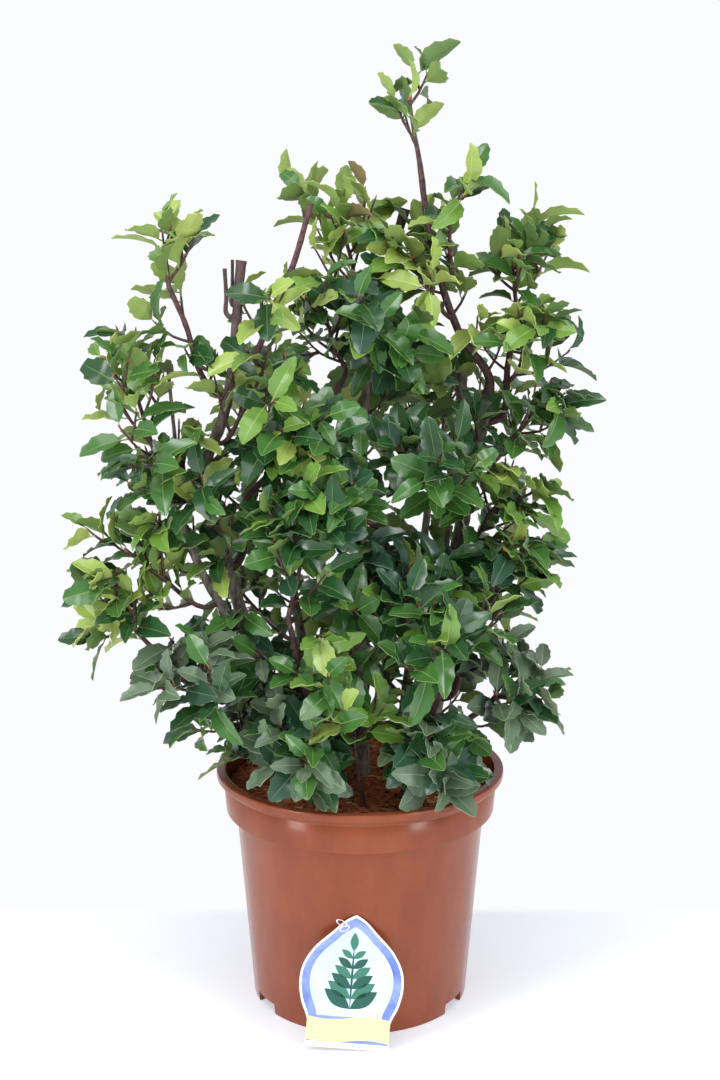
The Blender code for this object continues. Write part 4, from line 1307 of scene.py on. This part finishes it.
def pattern_leaf(form):
    """A leaf one unit long. Slot 0 is its upper side, 1 its midrib and margin, and 2 its underside."""
    bm = bmesh.new()
    bmesh.ops.create_grid(bm, x_segments=3, y_segments=LEAF_ROWS, size=0.5)
    for vert in bm.verts:
        part = vert.co.y + 0.5
        row = round(part * LEAF_ROWS)
        side = math.copysign(1.0, vert.co.x)
        if abs(vert.co.x) > OUTER_COLUMN:
            x = side * half_width(part, row) * form.width
            forward = TOOTH_FORWARD if row % 2 else 0.0
        else:
            x = side * RIB_HALF * (RIB_TAPER - part)
            forward = 0.0
        y = PETIOLE + (1.0 - PETIOLE) * part + forward
        z = abs(x) * form.fold - form.curl * part**CURL_POWER
        z += form.wave * math.sin(WAVE_TURNS * math.pi * part) * abs(x) * WAVE_GAIN
        vert.co = (x, y, z)
    bmesh.ops.recalc_face_normals(bm, faces=bm.faces)
    if sum(face.normal.z for face in bm.faces) < 0.0:
        bmesh.ops.reverse_faces(bm, faces=bm.faces)
    bmesh.ops.solidify(bm, geom=bm.faces[:], thickness=BLADE_THICKNESS)
    bmesh.ops.recalc_face_normals(bm, faces=bm.faces)
    for face in bm.faces:
        middle = face.calc_center_median()
        if face.normal.z < -RIM_SLOPE:
            face.material_index = 2
        elif face.normal.z < RIM_SLOPE or abs(middle.x) < RIB_HALF:
            face.material_index = 1
    petiole = bmesh.new()
    petiole_middle = (0.0, PETIOLE / 2 + PETIOLE_SHIFT, -PETIOLE_DROP)
    along = Matrix.Translation(petiole_middle) @ Matrix.Rotation(-math.pi / 2, 4, "X")
    bmesh.ops.create_cone(
        petiole,
        cap_ends=True,
        segments=3,
        radius1=PETIOLE_BASE,
        radius2=PETIOLE_TIP,
        depth=PETIOLE + PETIOLE_OVERLAP,
        matrix=along,
    )
    for face in petiole.faces:
        face.material_index = 1
    add_solid(bm, petiole)
    return bm


print("leaf forms:", len(LEAF_FORMS))

# %% [markdown]
# Every tint has three plain colours: the glossy upper side, the midrib and margin, and the dull underside.
# A spray, which is one twig with its leaves, takes one tint, with some leaves of others. Each mass has its
# own mix of tints, so the colours fall as they do on the shrub: yellow-green near the top, dark in the
# middle, and grey with dust low down.

# %% Tints of the leaves
Tint = namedtuple("Tint", "upper rib under gloss")
TINTS = {
    "deep": Tint(paint(36, 76, 38), paint(92, 124, 66), paint(98, 126, 68), 0.25),
    "blue": Tint(paint(40, 76, 54), paint(102, 128, 88), paint(100, 124, 84), 0.28),
    "mid": Tint(paint(62, 108, 46), paint(122, 150, 76), paint(122, 148, 76), 0.27),
    "fresh": Tint(paint(106, 146, 58), paint(154, 176, 94), paint(150, 172, 90), 0.32),
    "lime": Tint(paint(156, 180, 86), paint(188, 202, 120), paint(180, 196, 108), 0.36),
    "dusty": Tint(paint(88, 110, 84), paint(146, 158, 126), paint(124, 140, 106), 0.50),
    "bronze": Tint(paint(118, 88, 60), paint(154, 128, 88), paint(140, 124, 84), 0.40),
}
TONES = {
    "lime": {"lime": 4, "fresh": 5, "mid": 4, "bronze": 0.4},
    "fresh": {"fresh": 5, "mid": 4, "lime": 2.5, "deep": 3},
    "mixed": {"mid": 5, "deep": 5, "fresh": 3, "lime": 1.2},
    "deep": {"deep": 6, "mid": 4, "blue": 1, "fresh": 0.8},
    "dusty": {"dusty": 5, "deep": 3, "blue": 1, "mid": 2},
}
ODD_LEAF = 0.3
COAT = 0.35
UNDERSIDE_ROUGHNESS = 0.6

leaf_materials = []
leaf_meshes = {}
for order, (tint_name, tint) in enumerate(TINTS.items()):
    leaf_materials.append(plain_material(f"leaf {tint_name}", tint.upper, tint.gloss, COAT))
    leaf_materials.append(plain_material(f"leaf {tint_name} rib", tint.rib, UNDERSIDE_ROUGHNESS))
    leaf_materials.append(plain_material(f"leaf {tint_name} underside", tint.under, UNDERSIDE_ROUGHNESS))
    for form in LEAF_FORMS:
        bm = pattern_leaf(form)
        for face in bm.faces:
            face.material_index += 3 * order
        leaf_meshes.setdefault(tint_name, []).append(as_mesh(bm, f"leaf_{tint_name}"))
print("faces of one leaf:", len(leaf_meshes["deep"][0].polygons))

# %% [markdown]
# A leaf or a twig may grow only where it has room: in its mass's own space, clear of every limb, above the
# soil and the pot's rim, and out of the gaps where sky shows. A leaf's middle also keeps away from those of
# other leaves. Limbs are searched through a k-d tree of points on their axes, and leaves through a coarse
# grid.

# %% Room to grow
SPACE_OVERLAP = 0.008
LIMB_GAP = 0.0025
LEAF_GAP = 0.0078
SOIL_GAP = 0.004
RIM_GAP = 0.010
RIM_REACH = 0.035
WIDEST_LIMB = 0.0066
SEARCH_STEP = 0.004

axis_points = [
    (point, radius)
    for limb in LIMBS
    for points in [smooth_path(grown[limb.name].points, SEARCH_STEP)]
    for point, radius in zip(points, tapered(limb.base_radius, limb.tip_radius, len(points)))
]
limb_tree = KDTree(len(axis_points))
for index, (point, radius) in enumerate(axis_points):
    limb_tree.insert(point, index)
limb_tree.balance()
leaf_cells = {}
SkyGap = namedtuple("SkyGap", "x z radius")
SKY_GAPS = (
    SkyGap(-0.112, 0.553, 0.020),
    SkyGap(-0.090, 0.575, 0.017),
    SkyGap(-0.064, 0.588, 0.021),
    SkyGap(0.086, 0.600, 0.018),
)


def clear_of_limbs(point):
    """Whether a point stays outside the bark of every limb."""
    near = limb_tree.find_range(point, WIDEST_LIMB + LIMB_GAP)
    return all(distance > axis_points[index][1] + LIMB_GAP for _, index, distance in near)


def clear_of_gaps(point):
    """Whether a point stays out of the places in the top of the crown where sky shows through."""
    return all(math.hypot(point.x - gap.x, point.z - gap.z) > gap.radius for gap in SKY_GAPS)


def above_pot(point):
    """Whether a point stays above the soil, and above the rim of the pot near and outside it."""
    distance = math.hypot(point.x, point.y)
    if distance < RIM_RADIUS + RIM_REACH:
        return point.z > (SOIL_TOP if distance < SOIL_RADIUS - RIM_GAP else POT_HEIGHT) + SOIL_GAP
    return True


def in_space(point, number):
    """Whether a point lies in its mass's own space, or only a little way outside it."""
    own = centres[number]
    for other in centres:
        way = other - own
        if way.length and (point - own).dot(way.normalized()) > way.length / 2 + SPACE_OVERLAP:
            return False
    return True


def cell_of(point):
    """The cell of the leaves' grid that holds a point."""
    return tuple(math.floor(value / LEAF_GAP) for value in point)


def clear_of_leaves(point):
    """Whether no other leaf has its middle close to a point."""
    column, row, layer = cell_of(point)
    for x in (column - 1, column, column + 1):
        for y in (row - 1, row, row + 1):
            for z in (layer - 1, layer, layer + 1):
                if any((point - other).length < LEAF_GAP for other in leaf_cells.get((x, y, z), ())):
                    return False
    return True


print("points on limb axes:", len(axis_points))

# %% [markdown]
# This is the growing rule. Side twigs leave a stem one after another, each turned on from the last by the
# golden angle, and bend up towards the light. Every side twig may carry one finer twig. A twig without room
# is turned on a few times, and is left out if that doesn't help.

# %% Growing side twigs
GOLDEN_ANGLE = math.radians(137.5)
TWIG_ANGLE = math.radians(46)
TWIG_RISE = 0.22
TWIG_REACH = 1.22
TWIG_STEP = 0.008
FINER_REACH = 0.62
FINER_SPREAD = (0.4, 0.65)
FIRST_TWIG = 0.26
LAST_TWIG = 0.92
MORE_TWIGS = 3
TRIES = 10
LEAST_REACH = 0.022
REACH_SPREAD = (0.75, 1.15)
REACH_AT_FOOT = 1.15
REACH_LOSS = 0.4


def sideways(way, turn):
    """A direction square to a shoot, turned about it."""
    return Matrix.Rotation(turn, 3, way) @ way.orthogonal().normalized()


def side_twig(path, position, reach, turn, number, angle=TWIG_ANGLE):
    """A twig that bends up from a point on a shoot, or nothing where it has no room."""
    foot, span = point_along(path, position)
    way = (path[span + 1] - path[span]).normalized()
    for _ in range(TRIES):
        turn += GOLDEN_ANGLE
        out = way * math.cos(angle) + sideways(way, turn) * math.sin(angle)
        middle = foot + out * reach * 0.5
        tip = foot + out * reach + Vector((0.0, 0.0, TWIG_RISE * reach))
        roomy = clear_of_limbs(tip) and clear_of_limbs(middle) and clear_of_gaps(tip)
        if roomy and in_space(tip, number) and above_pot(tip):
            return smooth_path([foot, middle, tip], TWIG_STEP), turn
    return None, turn


def grow_twigs(mass, number, stem_path, rng):
    """The side twigs of a mass's stem, each with a finer twig of its own where there is room."""
    twigs = []
    turn = rng.uniform(0.0, 2.0 * math.pi)
    count = mass.twigs + (MORE_TWIGS if mass.twigs > 1 else 1)
    for index in range(count):
        position = FIRST_TWIG + (LAST_TWIG - FIRST_TWIG) * index / max(1, count - 1)
        shorter = REACH_AT_FOOT - REACH_LOSS * position
        reach = max(LEAST_REACH, mass.reach) * TWIG_REACH * rng.uniform(*REACH_SPREAD) * shorter
        twig, turn = side_twig(stem_path, position, reach, turn, number)
        if twig:
            twigs.append(twig)
            finer, turn = side_twig(twig, rng.uniform(*FINER_SPREAD), reach * FINER_REACH, turn, number)
            if finer:
                twigs.append(finer)
    return twigs


print("tries for each twig and leaf:", TRIES)

# %% [markdown]
# Leaves are shared out over all the shoots by length, from each tip downwards. They turn their upper side to
# the light outside the crown. Each is a copy of a pattern leaf. A particle system could scatter them, but
# this rule can see whether a leaf has room.

# %% Growing leaves
LEAF_LENGTH = 0.0345
LEAF_ANGLE = math.radians(56)
LEAF_MIDDLE = 0.6
LEAST_LEAVES = 3
LIGHT_FROM_TIP = 0.45
LIGHT_FROM_ABOVE = 0.50
LIGHT_FROM_OUTSIDE = 0.55
ANGLE_SPREAD = (0.7, 1.25)
LENGTH_SPREAD = (0.78, 1.12)
ROLL_SPREAD = 0.35
YOUNG_FROM = 0.85
YOUNG_LENGTH = 0.78
END_LEAF_FROM = 0.96
END_LEAF_ANGLE = 0.5
CROWN_AXIS = Vector((-0.02, 0.01, 0.0))


def leaf_spots(paths, count, leafy):
    """Shares leaves out over the leafy part of shoots by length, from each shoot's tip downwards."""
    lengths = [path_length(path) for path in paths]
    spots = []
    for order, (path, length) in enumerate(zip(paths, lengths)):
        share = max(LEAST_LEAVES, round(count * length / sum(lengths)))
        spots.extend((order, path, 1.0 - leafy * step / share) for step in range(share))
    return spots


def leaf_matrix(foot, way, side, angle, roll, length):
    """A leaf's place: it leans off the shoot, and its upper side faces the light but for a roll."""
    axis = way * math.cos(angle) + side * math.sin(angle)
    outward = Vector((foot.x, foot.y, 0.0)) - CROWN_AXIS
    light = way * LIGHT_FROM_TIP + outward.normalized() * LIGHT_FROM_OUTSIDE
    light.z += LIGHT_FROM_ABOVE
    upper = (light - axis * light.dot(axis)).normalized()
    upper = Matrix.Rotation(roll, 3, axis) @ upper
    turn = Matrix((axis.cross(upper), axis, upper)).transposed().to_4x4()
    return Matrix.Translation(foot) @ turn @ Matrix.Diagonal((length, length, length, 1.0)), axis


def grow_leaves(number, paths, count, leafy, rng, whole):
    """Adds every leaf that has room to a piece of the crown and says how many there are."""
    tone = TONES[MASSES[number].tone]
    tints = rng.choices(list(tone), list(tone.values()), k=len(paths))
    turn = rng.uniform(0.0, 2.0 * math.pi)
    placed = 0
    for order, path, position in leaf_spots(paths, count, leafy):
        foot, span = point_along(path, position)
        way = (path[span + 1] - path[span]).normalized()
        angle_share = END_LEAF_ANGLE if position > END_LEAF_FROM else 1.0
        length_share = YOUNG_LENGTH if position > YOUNG_FROM else 1.0
        for _ in range(TRIES):
            turn += GOLDEN_ANGLE
            angle = LEAF_ANGLE * rng.uniform(*ANGLE_SPREAD) * angle_share
            length = LEAF_LENGTH * rng.uniform(*LENGTH_SPREAD) * length_share
            roll = rng.gauss(0.0, ROLL_SPREAD)
            place, axis = leaf_matrix(foot, way, sideways(way, turn), angle, roll, length)
            middle = foot + axis * length * LEAF_MIDDLE
            tip = foot + axis * length
            if not (in_space(tip, number) and above_pot(tip) and above_pot(middle)):
                continue
            if not (clear_of_gaps(middle) and clear_of_gaps(tip)):
                continue
            if clear_of_limbs(middle) and clear_of_limbs(tip) and clear_of_leaves(middle):
                leaf_cells.setdefault(cell_of(middle), []).append(middle)
                tint = tints[order] if rng.random() > ODD_LEAF else rng.choice(list(tone))
                leaf = rng.choice(leaf_meshes[tint]).copy()
                leaf.transform(place)
                whole.from_mesh(leaf)
                bpy.data.meshes.remove(leaf)
                placed += 1
                break
    return placed


print("leaf length before its spread:", LEAF_LENGTH, "m")

# %% [markdown]
# Every mass now grows from its own seed, so a change to one hardly touches those far from it. Its leaves go
# to the piece of its part of the crown, and all the stems and twigs go to one piece of young wood. A small
# red bud closes each twig.

# %% Grow the crown
FIRST_SEED = 1000
LEAVES_PER_SOLID_LEAF = 3.5
LEAFY_PART = 0.88
STEM_SIDES = 8
TWIG_SIDES = 6
TWIG_BASE_RADIUS = 0.0012
TWIG_TIP_RADIUS = 0.0007
STEM_DRAWN_STEP = 0.006
BUD_LENGTH = 0.0035
BUD_SIDES = 5
BUD_SWELL = 1.3
BUD_POINT = 0.2
BUD_MIDDLE = 0.4


def bud(path, radius):
    """A small pointed bud on the end of a shoot."""
    way = directions(path)[-1]
    bm = bmesh.new()
    turn = way.to_track_quat("Z", "Y").to_matrix().to_4x4()
    bmesh.ops.create_cone(
        bm,
        cap_ends=True,
        segments=BUD_SIDES,
        radius1=radius * BUD_SWELL,
        radius2=radius * BUD_POINT,
        depth=BUD_LENGTH,
        matrix=Matrix.Translation(path[-1] + way * BUD_LENGTH * BUD_MIDDLE) @ turn,
    )
    for face in bm.faces:
        face.material_index = 1
    return bm


def draw_shoot(path, base_radius=TWIG_BASE_RADIUS, tip_radius=TWIG_TIP_RADIUS, sides=TWIG_SIDES):
    """Adds a stem or a twig to the young wood, with a bud on its end."""
    add_solid(twig_wood, tube(path, tapered(base_radius, tip_radius, len(path)), sides))
    add_solid(twig_wood, bud(path, tip_radius))


crowns = {}
twig_wood = bmesh.new()
leaf_total = 0
for number, mass in enumerate(MASSES):
    rng = random.Random(FIRST_SEED + number)
    stem_path = smooth_path(stem_points[number], STEM_DRAWN_STEP)
    twigs = grow_twigs(mass, number, stem_path, rng)
    draw_shoot(stem_path, STEM_BASE_RADIUS, STEM_TIP_RADIUS, STEM_SIDES)
    for twig in twigs:
        draw_shoot(twig)
    whole = crowns.setdefault(mass.group, bmesh.new())
    leaf_count = mass.leaves * LEAVES_PER_SOLID_LEAF
    leaf_total += grow_leaves(number, [stem_path] + twigs, leaf_count, LEAFY_PART, rng, whole)
print("leaves of the masses:", leaf_total)

# %% [markdown]
# The boughs themselves aren't bare below the masses. Short spurs with a few leaves stand on them all the
# way up from the pot's rim, except near cut ends and high on the leader. A spur belongs to the mass whose
# centre is nearest, and takes its tints.

# %% Spurs on the boughs
SPUR_SPACING = 0.017
SPUR_LOWEST = 0.184
SPUR_LOW_REACH = 0.020
SPUR_HIGH_REACH = 0.036
SPUR_ANGLE = math.radians(60)
SPUR_LEAVES = 5
SPUR_LEAFY = 0.6
SPUR_TOP = 0.96
BARE_FROM = {"left_trunk": 0.66, "inner_shoot": 0.30, "cut_stub": 0.0, "centre_trunk": 0.80, "leader": 0.70}

for order, limb in enumerate(LIMBS):
    rng = random.Random(2 * FIRST_SEED + order)
    path = smooth_path(grown[limb.name].points, STEM_DRAWN_STEP)
    length = path_length(path)
    turn = rng.uniform(0.0, 2.0 * math.pi)
    for step in range(1, math.floor(length / SPUR_SPACING)):
        position = step * SPUR_SPACING / length
        foot = point_along(path, position)[0]
        if foot.z < SPUR_LOWEST or position > BARE_FROM.get(limb.name, SPUR_TOP):
            continue
        number = min(range(len(centres)), key=lambda index: (centres[index] - foot).length)
        reach = rng.uniform(SPUR_LOW_REACH, SPUR_HIGH_REACH)
        spur, turn = side_twig(path, position, reach, turn, number, SPUR_ANGLE)
        if spur:
            draw_shoot(spur)
            whole = crowns[MASSES[number].group]
            leaf_total += grow_leaves(number, [spur], SPUR_LEAVES, SPUR_LEAFY, rng, whole)
print("leaves with those of the spurs:", leaf_total)

# %% [markdown]
# The twigs and each part of the crown are finished as pieces. Each part replaces the masses that grew into
# it.

# %% Join the crown
finished(twig_wood, "twigs", [young_bark, bud_skin], WOOD_EDGE_ANGLE)
for group, whole in crowns.items():
    foliage = finished(whole, f"leaves_{group}", leaf_materials, LEAF_EDGE_ANGLE)
    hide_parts(*[mass.name for mass in MASSES if mass.group == group])
print("parts of the crown:", list(crowns))
